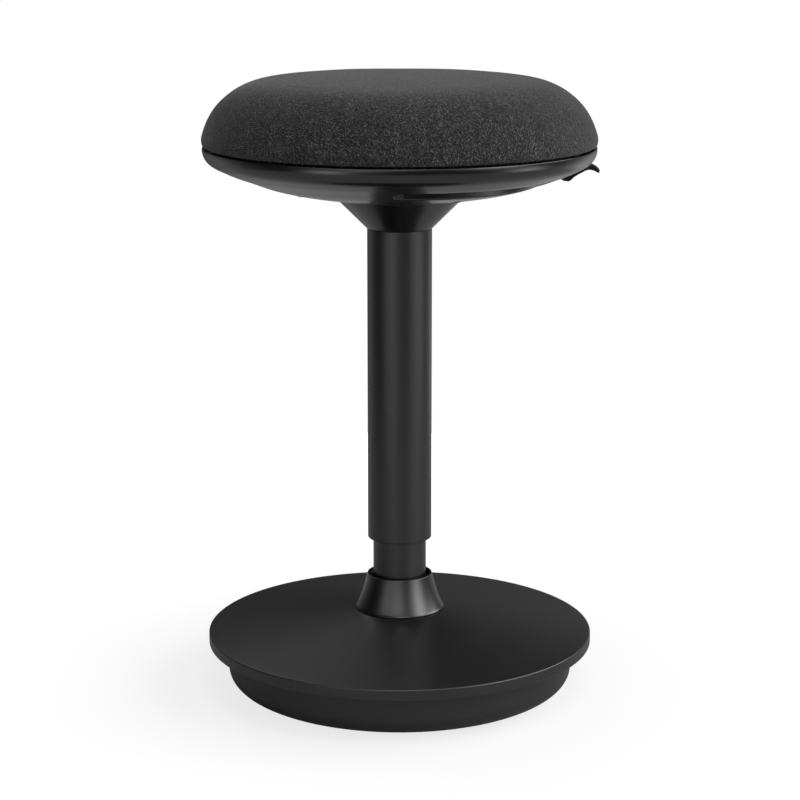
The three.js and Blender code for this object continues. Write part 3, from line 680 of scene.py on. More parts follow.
@dataclass(frozen=True)
class PowderCoat(Finish):
    """Steel with a satin black powder coat: a smooth skin with the slight waviness of baked powder."""

    depth: float = 0.012
    tones: tuple = ((0.35, "070708"), (0.65, "0a0a0b"))
    wave: float = 3.5  # mm between the swells of the coat
    speck: float = 0.8  # mm between the specks of the powder

    def paint(self, tree: bpy.types.NodeTree, shader: bpy.types.Node) -> tuple:
        """Swells from smooth noise, with a trace of finer speckle in the colour.

        Args:
            tree: the material's nodes.
            shader: the principled shader, which needs nothing more.

        Returns:
            The specks and the swells.
        """
        place = add_node(tree, "ShaderNodeTexCoord").outputs["Object"]
        swell = {"Vector": place, "Scale": 1 / (self.wave * MM), "Detail": 1.0, "Roughness": 0.4}
        speck = {"Vector": place, "Scale": 1 / (self.speck * MM), "Detail": 2.0, "Roughness": 0.6}
        return add_node(tree, "ShaderNodeTexNoise", speck), add_node(tree, "ShaderNodeTexNoise", swell)


@dataclass(frozen=True)
class ZincSteel(Finish):
    """Turned and bright zinc-plated steel: fine rings from the tool and a slightly uneven pale plating."""

    depth: float = 0.006
    tones: tuple = ((0.3, "8d9096"), (0.7, "b7bac0"))
    ring: float = 0.6  # mm between the tool's rings
    cloud: float = 9.0  # mm between the clouds of the plating

    def paint(self, tree: bpy.types.NodeTree, shader: bpy.types.Node) -> tuple:
        """Rings from a wave up the axis, cloudy plating from noise.

        Args:
            tree: the material's nodes.
            shader: the principled shader, which needs nothing more.

        Returns:
            The clouds and the rings.
        """
        place = add_node(tree, "ShaderNodeTexCoord").outputs["Object"]
        broad = {"Vector": place, "Scale": 1 / (self.cloud * MM), "Detail": 4.0, "Roughness": 0.6}
        lathe = {"Vector": place, "Scale": BAND / (self.ring * MM), "Distortion": 0.4}
        rings = add_node(tree, "ShaderNodeTexWave", lathe, wave_type="BANDS", bands_direction="Z")
        return add_node(tree, "ShaderNodeTexNoise", broad), rings.outputs["Fac"]


@dataclass(frozen=True)
class CastIron(Finish):
    """Grey iron, cast in sand: dark, with a pitted skin and spots of brown."""

    depth: float = 0.25
    tones: tuple = ((0.35, "2c2b2a"), (0.65, "4d4844"))
    pit: float = 1.6  # mm between pits
    patch: float = 12.0  # mm between patches

    def paint(self, tree: bpy.types.NodeTree, shader: bpy.types.Node) -> tuple:
        """Pits from cells, patches from noise.

        Args:
            tree: the material's nodes.
            shader: the principled shader, which needs nothing more.

        Returns:
            The patches and the pits.
        """
        place = add_node(tree, "ShaderNodeTexCoord").outputs["Object"]
        cells = {"Vector": place, "Scale": 1 / (self.pit * MM)}
        pits = add_node(tree, "ShaderNodeTexVoronoi", cells, feature="SMOOTH_F1").outputs["Distance"]
        broad = {"Vector": place, "Scale": 1 / (self.patch * MM), "Detail": 5.0, "Roughness": 0.65}
        return add_node(tree, "ShaderNodeTexNoise", broad), pits


@dataclass(frozen=True)
class Plywood(Finish):
    """Beech plywood, sawn and sanded: pale veneers along X, with darker glue lines round its edge."""

    depth: float = 0.05
    tones: tuple = ((0.35, "9c7347"), (0.85, "cfa777"))
    veneer: float = 1.5  # mm
    glue_tone: float = 0.25
    fibre: float = 2.2  # mm between fibres
    fibre_stretch: float = 0.06  # pace of the grain along the fibres, against its pace across

    def paint(self, tree: bpy.types.NodeTree, shader: bpy.types.Node) -> tuple:
        """Grain from noise drawn out along X, glue lines from a wave up Z, two veneers to each.

        Args:
            tree: the material's nodes.
            shader: the principled shader, which needs nothing more.

        Returns:
            The grain with the glue lines added, and the grain.
        """
        place = add_node(tree, "ShaderNodeTexCoord").outputs["Object"]
        drawn = add_node(tree, "ShaderNodeMapping", {"Vector": place, "Scale": (self.fibre_stretch, 1.0, 1.0)})
        fine = {"Vector": drawn, "Scale": 1 / (self.fibre * MM), "Detail": 5.0, "Roughness": 0.6}
        grain = add_node(tree, "ShaderNodeTexNoise", fine)
        plies = {"Vector": place, "Scale": BAND / (2 * self.veneer * MM)}
        glue = add_node(tree, "ShaderNodeTexWave", plies, wave_type="BANDS", bands_direction="Z").outputs["Fac"]
        mixed = {0: glue, 1: self.glue_tone, 2: grain}
        return add_node(tree, "ShaderNodeMath", mixed, operation="MULTIPLY_ADD", use_clamp=True), grain


@dataclass(frozen=True)
class CleanNylon(Finish):
    """Natural nylon, turned from rod: milky, with faint rings."""

    depth: float = 0.01
    tones: tuple = ((0.3, "cbc9bf"), (0.7, "dedcd3"))
    ring: float = 0.5  # mm between the tool's rings
    cloud: float = 8.0  # mm between its clouds

    def paint(self, tree: bpy.types.NodeTree, shader: bpy.types.Node) -> tuple:
        """Rings from a wave up the axis, a cloudy tone from noise.

        Args:
            tree: the material's nodes.
            shader: the principled shader, which needs nothing more.

        Returns:
            The clouds and the rings.
        """
        place = add_node(tree, "ShaderNodeTexCoord").outputs["Object"]
        broad = {"Vector": place, "Scale": 1 / (self.cloud * MM), "Detail": 2.0}
        lathe = {"Vector": place, "Scale": BAND / (self.ring * MM)}
        rings = add_node(tree, "ShaderNodeTexWave", lathe, wave_type="BANDS", bands_direction="Z")
        return add_node(tree, "ShaderNodeTexNoise", broad), rings.outputs["Fac"]


@dataclass(frozen=True)
class MouldedRubber(Finish):
    """Styrene rubber, moulded: dull and nearly black, with a dusty grain."""

    depth: float = 0.06
    tones: tuple = ((0.35, "141414"), (0.7, "1e1e1d"))
    grain: float = 0.9  # mm

    def paint(self, tree: bpy.types.NodeTree, shader: bpy.types.Node) -> tuple:
        """Grain and dust from one noise.

        Args:
            tree: the material's nodes.
            shader: the principled shader, which needs nothing more.

        Returns:
            The noise, twice.
        """
        place = add_node(tree, "ShaderNodeTexCoord").outputs["Object"]
        fine = {"Vector": place, "Scale": 1 / (self.grain * MM), "Detail": 3.0, "Roughness": 0.7}
        grain = add_node(tree, "ShaderNodeTexNoise", fine)
        return grain, grain


FINISHES = {
    Slot.FABRIC: TwillFabric("woven_polyester_twill", roughness=0.95, specular=0.05),
    Slot.PLASTIC: MouldedPlastic("moulded_polypropylene", roughness=0.23, ior=1.49, specular=1.0),
    Slot.BLACK_STEEL: PowderCoat("powder_coated_steel", roughness=0.35, specular=1.0),
    Slot.BARE_STEEL: ZincSteel("zinc_plated_steel", roughness=0.32, metallic=1.0),
    Slot.IRON: CastIron("sand_cast_iron", roughness=0.75, metallic=0.6),
    Slot.PLYWOOD: Plywood("sanded_beech_plywood", roughness=0.6),
    Slot.NYLON: CleanNylon("turned_nylon", roughness=0.45, ior=1.53),
    Slot.RUBBER: MouldedRubber("moulded_rubber", roughness=0.8, ior=1.52, specular=0.4),
}

SATIN_PLASTIC = MouldedPlastic("satin_polypropylene", roughness=0.25, ior=1.49, specular=0.9, depth=0.012)
DISC_PLASTIC = MouldedPlastic(
    "grained_polypropylene", roughness=0.36, ior=1.49, specular=0.85, tones=((0.3, "0f0f0f"), (0.7, "131313"))
)
DISH_PLASTIC = MouldedPlastic(
    "coarse_polypropylene", roughness=0.45, ior=1.49, specular=0.8, tones=((0.3, "0c0c0c"), (0.7, "101010"))
)


class Workshop:
    """Makes each finish once and dresses the pieces with it."""

    def __init__(self, nodes: dict) -> None:
        """Keeps the CAD nodes.

        Args:
            nodes: the frame's CAD objects by name.
        """
        self.nodes = nodes
        self.made: dict[Finish, bpy.types.Material] = {}

    def material(self, finish: Finish) -> bpy.types.Material:
        """The material of a finish, made when it is first asked for."""
        if finish not in self.made:
            self.made[finish] = finish.material()
        return self.made[finish]

    def fit(
        self, piece: bpy.types.Object, body: Body, slot: Slot, *nodes: str, finish: Finish | None = None
    ) -> bpy.types.Object:
        """Lets a new piece ride on its body, stand for its CAD nodes and take its finish.

        Args:
            piece: the new piece.
            body: what it rides on.
            slot: its material slot in the record.
            nodes: CAD nodes that it stands for.
            finish: its finish, where it isn't the slot's own.

        Returns:
            The piece.
        """
        piece.data.materials.clear()
        piece.data.materials.append(self.material(finish or FINISHES[slot]))
        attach(piece, body.value)
        if nodes:
            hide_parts(*nodes)
        LOG.info("%s: %d faces, rides on %s", piece.name, len(piece.data.polygons), body.value)
        return piece

    def dress(self, slot: Slot, *nodes: str) -> None:
        """Gives carried-over CAD nodes their finish.

        Args:
            slot: material slot in the record.
            nodes: names of the CAD nodes.
        """
        for name in nodes:
            node = self.nodes[name]
            for place in node.material_slots:
                place.material = self.material(FINISHES[slot])
            LOG.info("%s: CAD node in %s", name, slot.value)


def numbered(name: str, count: int) -> list[str]:
    """Names with _1 to _count after them."""
    return [f"{name}_{i + 1}" for i in range(count)]


def around(radius: float, count: int, turn: float) -> np.ndarray:
    """Even places on a circle: radius (cos, sin) of turn + 360 i / count.

    Args:
        radius: of the circle, in millimetres.
        count: number of places.
        turn: degrees from +X to the first.

    Returns:
        One (x, y) per place.
    """
    angle = np.radians(turn) + np.arange(count) * FULL_TURN / count
    return radius * np.stack([np.cos(angle), np.sin(angle)], axis=1)


def moved(
    piece: bpy.types.Object, x: float, y: float, z: float = 0.0, over: bool = False
) -> bpy.types.Object:
    """Places a mesh that was made at the origin.

    Args:
        piece: its mesh is changed, and the object stays at the origin.
        x: millimetres to the right.
        y: millimetres to the back.
        z: millimetres up.
        over: turns it upside down about X first.

    Returns:
        The piece.
    """
    place = corners_of(piece)
    if over:
        place *= (1, -1, -1)
    put_corners(piece, place + np.array([x, y, z]) * MM)
    return piece


def copies(name: str, outline: np.ndarray, segments: int, places: np.ndarray) -> list[bpy.types.Object]:
    """The same solid of revolution at several places.

    Args:
        name: the pieces' name, before their number.
        outline: points of (radius, height) in millimetres.
        segments: steps round each.
        places: one (x, y) for each.

    Returns:
        The pieces.
    """
    return [moved(revolved(f"{name}_{i}", outline, segments), x, y) for i, (x, y) in enumerate(places)]


@dataclass
class SocketScrew:
    """Screw with a round head and a hexagon socket. Its head sits on z = 0 and its shank points down."""

    head: float
    head_height: float
    shank: float
    length: float
    socket: float  # half the width across the socket's corners
    socket_depth: float
    segments: int = 48
    core: float = 0.86  # radius of the thread's core, as a share of the shank's
    tip: float = 0.6  # radius of the tip, as a share of the shank's
    tip_height: float = 0.8
    neck: float = 4.0  # plain length under the head
    neck_taper: float = 0.6  # the last of it, where it draws in to the core
    fillet: float = 0.25  # between the neck and the head
    foot: float = 0.3  # rounding of the head's lower edge
    crown: float = 0.7  # rounding of its upper edge
    lead: float = 0.35  # chamfer that leads the key into the socket
    drill_point: float = 0.5  # depth of the cone at the socket's bottom
    play: float = 0.3  # between the screw and its hole
    sharp: float = 40.0  # degrees; edges over this are shaded sharp

    def build(self, name: str) -> bpy.types.Object:
        """Rings from the shank's tip over the head down into the socket.

        A ring's radius is its own, or for the socket the radius of a hexagon: flat / cos(angle to the flat).

        Args:
            name: the piece's name.

        Returns:
            The screw at the origin.
        """
        top, low, thread = self.head_height, -self.length, self.shank * self.core
        floor = top - self.socket_depth
        rings = [
            (0, low), (self.shank * self.tip, low), (thread, low + self.tip_height), (thread, -self.neck),
            (self.shank, self.neck_taper - self.neck), (self.shank, -self.fillet), (self.shank + self.fillet, 0),
            (self.head - self.foot, 0), (self.head, self.foot), (self.head, top - self.crown),
            (self.head - 0.2, top - 0.3), (self.head - self.crown, top),
        ]
        angle = np.arange(self.segments) * FULL_TURN / self.segments
        flat = self.socket * math.cos(math.pi / 6)
        hexagon = flat / np.cos((angle + math.pi / 6) % (math.pi / 3) - math.pi / 6)
        outer = np.repeat(np.array(rings)[None], self.segments, axis=0)
        sunk = [(hexagon + self.lead, top), (hexagon, top - self.lead), (hexagon, floor + 0.1),
                (hexagon * 0.94, floor), (hexagon * 0, floor - self.drill_point)]
        inner = np.stack([np.stack([r, np.full_like(angle, z)], axis=1) for r, z in sunk], axis=1)
        profile = np.concatenate([outer, inner], axis=1)
        radius, height = profile[..., 0], profile[..., 1]
        points = np.stack([radius * np.cos(angle)[:, None], radius * np.sin(angle)[:, None], height], axis=-1)
        piece = solid(name, points, grid_faces(self.segments, profile.shape[1], True, False))
        piece.data.set_sharp_from_angle(angle=math.radians(self.sharp))
        return piece

    def hole(self, seat: float, low: float, high: float) -> list:
        """Outline of the hole that the screw sits in, head down: a recess from below, then the shank's hole.

        Args:
            seat: height that the head is pulled up to.
            low: where the cutter starts, below the surface.
            high: where it ends.

        Returns:
            Points of (radius, height).
        """
        head, shank, seat = self.head + self.play, self.shank + self.play, seat + self.play
        return [(0, low), (head, low), (head, seat), (shank, seat), (shank, high), (0, high)]

    def fit(self, shop: Workshop, name: str, places: np.ndarray, seat: float, body: Body) -> None:
        """Puts one screw at each place, head down, and dresses it.

        Args:
            shop: gives the screws their finish.
            name: name of their CAD nodes, before the number.
            places: one (x, y) for each.
            seat: height that the heads are pulled up to.
            body: what they ride on.
        """
        for node, (x, y) in zip(numbered(name, len(places)), places):
            screw = moved(self.build(f"{node}_fine"), x, y, seat, over=True)
            shop.fit(screw, body, Slot.BLACK_STEEL, node)


@dataclass
class Base:
    """Dish, weight, disc, collar and the fasteners between them."""

    pad_radius: float = 62.0
    pad_height: float = 3.2
    pad_grooves: tuple = (20.0, 34.0, 48.0)
    groove_mouth: float = 1.5  # half the width of a pad's groove where it opens
    groove_depth: float = 1.0  # half its width at the bottom, too
    dish_radius: float = 165.2
    dish_top: float = 47.2
    dish_floor: float = 7.5
    dish_draft: float = 1.4  # how far the flank leans in below the rim
    recess_gap: float = 0.3  # round the pad
    recess_roof: float = 3.5
    recess_edge: float = 0.8
    underside: tuple = (100.0, 1.35)  # radius and height of a point on the dish's nearly flat middle
    bend_start: tuple = (132.0, 2.0)
    bend_height: float = 6.0  # of the point that the bend is drawn to
    wall: float = 4.0
    disc_bore: float = 28.8
    disc_radius: float = 182.3
    disc_bottom: float = 47.5
    disc_edge: float = 58.0
    disc_top: float = 78.5
    band: float = 24.0
    boss_bore: float = 2.8
    boss_radius: float = 7.0
    boss_heights: tuple = (22.1, 68.3)
    collar_foot: float = 42.0
    collar_low: float = 78.8
    collar_top: float = 112.5
    collar_rim: float = 30.6
    collar_wall: float = 1.9
    collar_roll: float = 1.1  # height of the rolled edge at its foot
    flare_start: tuple = (0.5, 1.6)  # inwards and up from the foot
    flare_towards: tuple = (35.16, 14.15)  # radius, and height over the foot, of the point it is drawn to
    screw_circle: float = 100.0
    screw_count: int = 6
    screw_turn: float = 30.0  # degrees from +X to the first
    screw_seat: float = 4.2
    drill_heights: tuple = (-5.0, 12.0)
    screw: SocketScrew = field(default_factory=lambda: SocketScrew(5.5, 2.4, 2.5, 44.0, 2.4, 1.4))

    def screw_places(self) -> np.ndarray:
        """Places of the base screws."""
        return around(self.screw_circle, self.screw_count, self.screw_turn)

    def pad(self) -> bpy.types.Object:
        """Rubber disc with round grooves in the face that it stands on."""
        corners, radii = [(0, 0)], [0]
        wide, deep = self.groove_mouth, self.groove_depth
        for r in self.pad_grooves:
            corners += [(r - wide, 0), (r - deep, deep), (r + deep, deep), (r + wide, 0)]
            radii += [0.3] * 4
        corners += [(self.pad_radius, 0), (self.pad_radius, self.pad_height), (0, self.pad_height)]
        return revolved("foot_pad", rounded(corners, [*radii, 0.8, 0.3, 0], steps=3), segments=96)

    def dish(self) -> bpy.types.Object:
        """Bowl: a nearly flat underside that turns up into the flank on a soft bend, with sunk screw holes."""
        flank = self.dish_radius - self.dish_draft
        turn = bend(self.bend_start, (flank, self.bend_height), (flank, self.dish_top / 2), steps=22)
        outside = np.vstack([turn, [(self.dish_radius, self.dish_top)]])
        inside = beside(outside, self.wall)[1:-1]
        inside = inside[inside[:, 1] > self.dish_floor + 0.5][::-1]
        recess = self.pad_radius + self.recess_gap
        corners = [(0, self.recess_roof), (recess, self.recess_roof), (recess, self.recess_edge), self.underside,
                   *turn.tolist(), (self.dish_radius, self.dish_top),
                   (self.dish_radius - self.wall, self.dish_top), *inside.tolist(),
                   (self.bend_start[0], self.dish_floor), (0, self.dish_floor)]
        radii = [0, 0.4, 0.6, 0, *[0] * len(turn), 0.6, 0.4, *[0] * len(inside), 0, 0]
        dish = revolved("rocker_shell", rounded(corners, radii, steps=4), segments=192)
        hole = self.screw.hole(self.screw_seat, *self.drill_heights)
        return cut(dish, copies("dish_drill", hole, 40, self.screw_places()))

    def disc(self) -> bpy.types.Object:
        """Cover disc: a shallow cone with a solid band behind its rim, and six hollow screw bosses under it."""
        slope = (self.disc_top - self.disc_edge) / (self.disc_radius - self.collar_foot)
        behind = self.disc_radius - self.band
        under = self.disc_edge + slope * self.band - self.wall
        corners = [
            (self.disc_bore, self.disc_top - self.wall), (self.collar_foot, self.disc_top - self.wall),
            (behind, under), (behind, self.disc_bottom), (self.disc_radius, self.disc_bottom),
            (self.disc_radius, self.disc_edge), (self.collar_foot, self.disc_top),
            (self.disc_bore, self.disc_top),
        ]
        outline = rounded(corners, [0.4, 4, 2, 0.5, 1.1, 1.4, 6, 0.4], steps=6)
        disc = revolved("base_disc", outline, segments=288)
        low, high = self.boss_heights
        corners = [(self.boss_bore, low), (self.boss_radius, low), (self.boss_radius, high),
                   (self.boss_bore, high)]
        post = rounded(corners, [0.3, 0.5, 0, 0], steps=3)
        return joined(disc, *copies("disc_boss", post, 32, self.screw_places()))

    def collar(self) -> bpy.types.Object:
        """Flared trim: a hollow cone on a bend, with a rolled edge at its foot and a rounded rim."""
        foot, low = self.collar_foot, self.collar_low
        start = (foot - self.flare_start[0], low + self.flare_start[1])
        towards = (self.flare_towards[0], low + self.flare_towards[1])
        flare = bend(start, towards, (self.collar_rim, self.collar_top), steps=24)
        lining = beside(flare, self.collar_wall)[1:-1][::-1]
        lining = lining[(lining[:, 1] < self.collar_top - 1.5) & (lining[:, 1] > low + 2)]
        corners = [(foot - 4.2, low), (foot, low), (foot, low + self.collar_roll), *flare.tolist(),
                   (self.collar_rim - 1.6, self.collar_top), *lining.tolist()]
        radii = [0.3, 0.35, 0.4, *[0] * (len(flare) - 1), 0.55, 0.4, *[0] * len(lining)]
        return revolved("collar", rounded(corners, radii, steps=5), segments=128)

    def build(self, shop: Workshop) -> None:
        """Makes and dresses the base."""
        shop.fit(self.pad(), Body.BASE, Slot.RUBBER, "foot_pad")
        shop.fit(self.dish(), Body.BASE, Slot.PLASTIC, "rocker_shell", finish=DISH_PLASTIC)
        shop.fit(self.disc(), Body.BASE, Slot.PLASTIC, "base_disc", finish=DISC_PLASTIC)
        shop.fit(self.collar(), Body.BASE, Slot.PLASTIC, "collar", finish=SATIN_PLASTIC)
        self.screw.fit(shop, "base_screw", self.screw_places(), self.screw_seat, Body.BASE)
        shop.dress(Slot.IRON, "ballast_plate")
        shop.dress(Slot.BARE_STEEL, "column_socket", *numbered("socket_bolt", 4))


@dataclass
class Column:
    """Fixed tube with its guide bush and bearing, and the gas spring inside it."""

    radius: float = 25.0
    wall: float = 2.0
    bottom: float = 28.4
    top: float = 404.2
    bore: float = 5.3
    floor: float = 3.0

    def tube(self) -> bpy.types.Object:
        """Steel tube with a floor that the piston rod goes through."""
        inner, floor = self.radius - self.wall, self.bottom + self.floor
        corners = [(self.bore, self.bottom), (self.radius, self.bottom), (self.radius, self.top),
                   (inner, self.top), (inner, floor), (self.bore, floor)]
        return revolved("column_tube", rounded(corners, [0.3, 1, 0.4, 0.4, 1, 0.3], steps=3), segments=128)

    def build(self, shop: Workshop) -> None:
        """Makes and dresses the column and the gas spring."""
        shop.fit(self.tube(), Body.BASE, Slot.BLACK_STEEL, "column_tube")
        shop.dress(Slot.PLASTIC, "column_bush")
        shop.dress(Slot.BARE_STEEL, "thrust_washer_lower", "ball_cage", "piston_rod", "rod_clip")
        shop.dress(Slot.BARE_STEEL, "thrust_washer_upper", "piston", "pressure_tube", "valve_pin")
        shop.dress(Slot.RUBBER, "bump_ring", "piston_seal")
        shop.dress(Slot.NYLON, "rod_guide", "valve_head")


@dataclass
class Covers:
    """Wide tube that travels with the seat, the guide in its lower end and the cone at its top."""

    radius: float = 30.1
    wall: float = 2.0
    bottom: float = 148.0
    top: float = 443.5
    cone_low: float = 443.8
    cone_high: float = 473.05
    cone_radius: float = 60.0
    cone_neck: float = 30.6
    cone_inside: float = 52.28  # radius of the cone's inside at its top
    spigot_bore: float = 25.8
    spigot_radius: float = 27.8
    spigot_bottom: float = 428.0
    clip_radius: float = 49.7
    clip_height: float = 6.0
    clip_wall: float = 3.0
    cone_wall: float = 3.4
    glide_bore: float = 25.3
    glide_height: float = 20.0
    gap: float = 0.3  # round the glide and below it

    def tube(self) -> bpy.types.Object:
        """Plain tube with rounded ends."""
        inner = self.radius - self.wall
        corners = [(inner, self.bottom), (self.radius, self.bottom), (self.radius, self.top),
                   (inner, self.top)]
        return revolved("cover_tube", rounded(corners, [0.5, 0.7, 0.5, 0.5], steps=4), segments=128)

    def glide(self) -> bpy.types.Object:
        """Guide ring between the two tubes."""
        low, high = self.bottom + self.gap, self.bottom + self.glide_height
        bore, outer = self.glide_bore, self.radius - self.wall - self.gap
        corners = [(bore, low), (outer, low), (outer, high), (bore, high)]
        return revolved("glide_ring", rounded(corners, [0.7, 0.5, 0.5, 0.7], steps=3), segments=96)

    def cone(self) -> bpy.types.Object:
        """Cone with a spigot in the tube and a ring that snaps into the pan's hole."""
        low, high, roof = self.cone_low, self.cone_high, self.cone_high - self.cone_wall
        clip, clip_top, clip_inside = self.clip_radius, high + self.clip_height, self.clip_radius - self.clip_wall
        corners = [
            (self.spigot_bore, self.spigot_bottom), (self.spigot_radius, self.spigot_bottom),
            (self.spigot_radius, low), (self.cone_neck, low), (self.cone_radius, high), (clip, high),
            (clip, clip_top), (clip_inside, clip_top), (clip_inside, roof), (self.cone_inside, roof),
            (self.spigot_bore, low - 0.5),
        ]
        radii = [0.3, 0.5, 0.1, 0.5, 0.3, 0.3, 0.5, 0.5, 0.2, 1, 1]
        return revolved("cone_cover", rounded(corners, radii, steps=4), segments=160)

    def build(self, shop: Workshop) -> None:
        """Makes and dresses the covers."""
        shop.fit(self.tube(), Body.SEAT, Slot.BLACK_STEEL, "cover_tube")
        shop.fit(self.glide(), Body.SEAT, Slot.PLASTIC, "glide_ring")
        shop.fit(self.cone(), Body.SEAT, Slot.PLASTIC, "cone_cover")


@dataclass
class SeatPan:
    """Moulded shell under the seat, with its finger groove, the lever's slot and four sunk screws."""

    radius: float = 181.0
    foot: float = 473.1
    depth: float = 46.0
    hole: float = 50.0
    wall: float = 3.0
    shares: tuple = (
        (0.395, 0.033), (0.478, 0.076), (0.559, 0.13), (0.636, 0.196), (0.697, 0.261), (0.743, 0.326),
        (0.786, 0.391), (0.833, 0.457), (0.877, 0.522), (0.913, 0.587), (0.948, 0.652), (0.97, 0.707),
        (0.983, 0.761), (0.993, 0.83), (1.0, 0.935), (1.0, 1.0),
    )
    groove_radius: float = 140.0
    groove_half: float = 11.0
    groove_from: float = -87.5  # degrees, centre of its round left end
    groove_to: float = -18.5
    groove_roof: float = 503.5
    groove_draft: float = 0.1  # width of its steep wall, seen from above
    lip: float = 1.5
    pocket_wall: tuple = (1.6, 3.2)  # beyond the groove's wall, where the inside starts and stops clearing it
    pocket_roof: float = 2.2  # over the groove's roof
    screw_circle: float = 100.08
    screw_count: int = 4
    screw_turn: float = 30.0  # degrees from +X to the first
    screw_seat: float = 481.6
    drill_heights: tuple = (460.0, 512.0)
    post: tuple = (7.0, 9.5)  # radii where a screw's post starts and stops falling off
    boss_top: float = 504.4
    rim_round: float = 0.5
    rim_inside: float = 0.6  # rounding of the rim's inner edge
    rows_at_edge: tuple = (-5.5, -4, -3.1, -2.4, -1.7, -1, -0.5, -0.2, -0.1, 0, 0.1, 0.3, 0.6, 1, 1.5, 2.2, 3.4)
    row_outside: float = 2.6  # mm between rows elsewhere
    row_inside: float = 1.8
    row_least: float = 0.8  # a row nearer than this to one at the edge is left out
    column: float = 1.5  # degrees between columns
    column_fine: float = 0.2  # degrees between them at the groove's ends
    column_reach: float = 5.4  # degrees to both sides of an end that have fine columns
    column_shift: float = 0.6  # degrees from an end's centre to the middle of its fine columns
    column_least: float = 0.7  # a coarse column nearer than this to a fine one is left out
    slot_turn: float = 8.0  # degrees from +X, along the lever
    slot_half: float = 9.0
    slot_heights: tuple = (460.0, 500.0)
    slot_ends: tuple = ((82.0, 2.5), (82.8, 0.8), (84.5, 0.0), (133.5, 0.0), (135.2, 0.8), (136.0, 2.5))
    screw: SocketScrew = field(default_factory=lambda: SocketScrew(5.0, 2.6, 2.0, 28.0, 2.0, 1.5))

    def outline(self) -> np.ndarray:
        """Outside of the pan from its hole to its rim, dense and smooth."""
        side = np.array(self.shares) * (self.radius, self.depth) + (0, self.foot)
        curve = flowing(np.vstack([[(self.hole, self.foot)], side]), per_span=24)
        top, r = self.foot + self.depth, self.rim_round
        turn = np.linspace(0, QUARTER_TURN, 9)[1:]
        edge = np.stack([self.radius - r + r * np.cos(turn), top - r + r * np.sin(turn)], axis=1)
        return np.vstack([curve[curve[:, 1] < top - 1.2], edge])

    def screw_places(self) -> np.ndarray:
        """Places of the pan screws."""
        return around(self.screw_circle, self.screw_count, self.screw_turn)

    def from_groove(self, x: np.ndarray, y: np.ndarray) -> np.ndarray:
        """Distance in plan from the groove's middle line, an arc with two ends.

        Args:
            x: places in millimetres.
            y: places in millimetres.

        Returns:
            |radius - groove radius| beside the arc, and the distance to the nearer end past it.
        """
        angle = np.degrees(np.arctan2(y, x))
        beside_arc = np.abs(np.hypot(x, y) - self.groove_radius)
        ends = [around(self.groove_radius, 1, turn)[0] for turn in (self.groove_from, self.groove_to)]
        past = np.minimum(*(np.hypot(x - end[0], y - end[1]) for end in ends))
        return np.where((angle > self.groove_from) & (angle < self.groove_to), beside_arc, past)

    def outer(self, height: np.ndarray, x: np.ndarray, y: np.ndarray) -> np.ndarray:
        """Height of the outside with the groove pressed up into it.

        Outside the groove's wall the lip is an arc: lip - sqrt(lip^2 - t^2), t from the lip's start. Inside
        the wall the height is the roof, less the same arc with twice the radius.
        """
        d = self.from_groove(x, y)
        t = np.clip(self.groove_half + self.lip - d, 0, self.lip)
        lipped = height + self.lip - np.sqrt(self.lip**2 - t**2)
        fillet = 2 * self.lip
        t = np.clip(d - (self.groove_half - self.groove_draft - fillet), 0, fillet)
        roof = self.groove_roof - fillet + np.sqrt(fillet**2 - t**2)
        return np.where(d < self.groove_half - self.groove_draft / 2, np.maximum(roof, height), lipped)

    def inner(self, height: np.ndarray, x: np.ndarray, y: np.ndarray) -> np.ndarray:
        """Height of the inside: it clears the groove by the wall and rises to the board round each screw."""
        start, stop = self.pocket_wall
        pocket = 1 - step(self.groove_half + start, self.groove_half + stop, self.from_groove(x, y))
        raised = height + pocket * np.maximum(self.groove_roof + self.pocket_roof - height, 0)
        for sx, sy in self.screw_places():
            post = 1 - step(*self.post, np.hypot(x - sx, y - sy))
            raised = raised + post * np.maximum(self.boss_top - raised, 0)
        return raised

    def shell(self) -> bpy.types.Object:
        """Grid of angles by places along the outline: out over the outside, back over the inside."""
        outline, top = self.outline(), self.foot + self.depth
        length = lengths_along(outline)
        edges = self.groove_radius + np.outer([-1, 1], self.groove_half + np.array(self.rows_at_edge)).ravel()
        at_edges = np.interp(edges, outline[:-30, 0], length[:-30])
        even = np.arange(0, length[-1], self.row_outside)
        even = even[np.abs(even[:, None] - at_edges).min(axis=1) > self.row_least]
        rim = length[-12:]
        rows = np.unique(np.concatenate([even[even < rim[0] - self.row_least], at_edges, rim]))
        outside = read_at(rows, length, outline)
        lining = beside(outline, self.wall)
        lining = lining[(lining[:, 0] > self.hole) & (lining[:, 1] < top - 1.5)]
        back = lengths_along(lining)
        inside = read_at(np.arange(back[-1], 0, -self.row_inside), back, lining)
        turn, r = np.linspace(0, QUARTER_TURN, 5), self.rim_inside
        rolled = np.stack([self.radius - self.wall + r - r * np.sin(turn), top - r + r * np.cos(turn)], axis=1)
        profile = np.vstack([outside, rolled, inside, [(self.hole, inside[-1, 1])]])

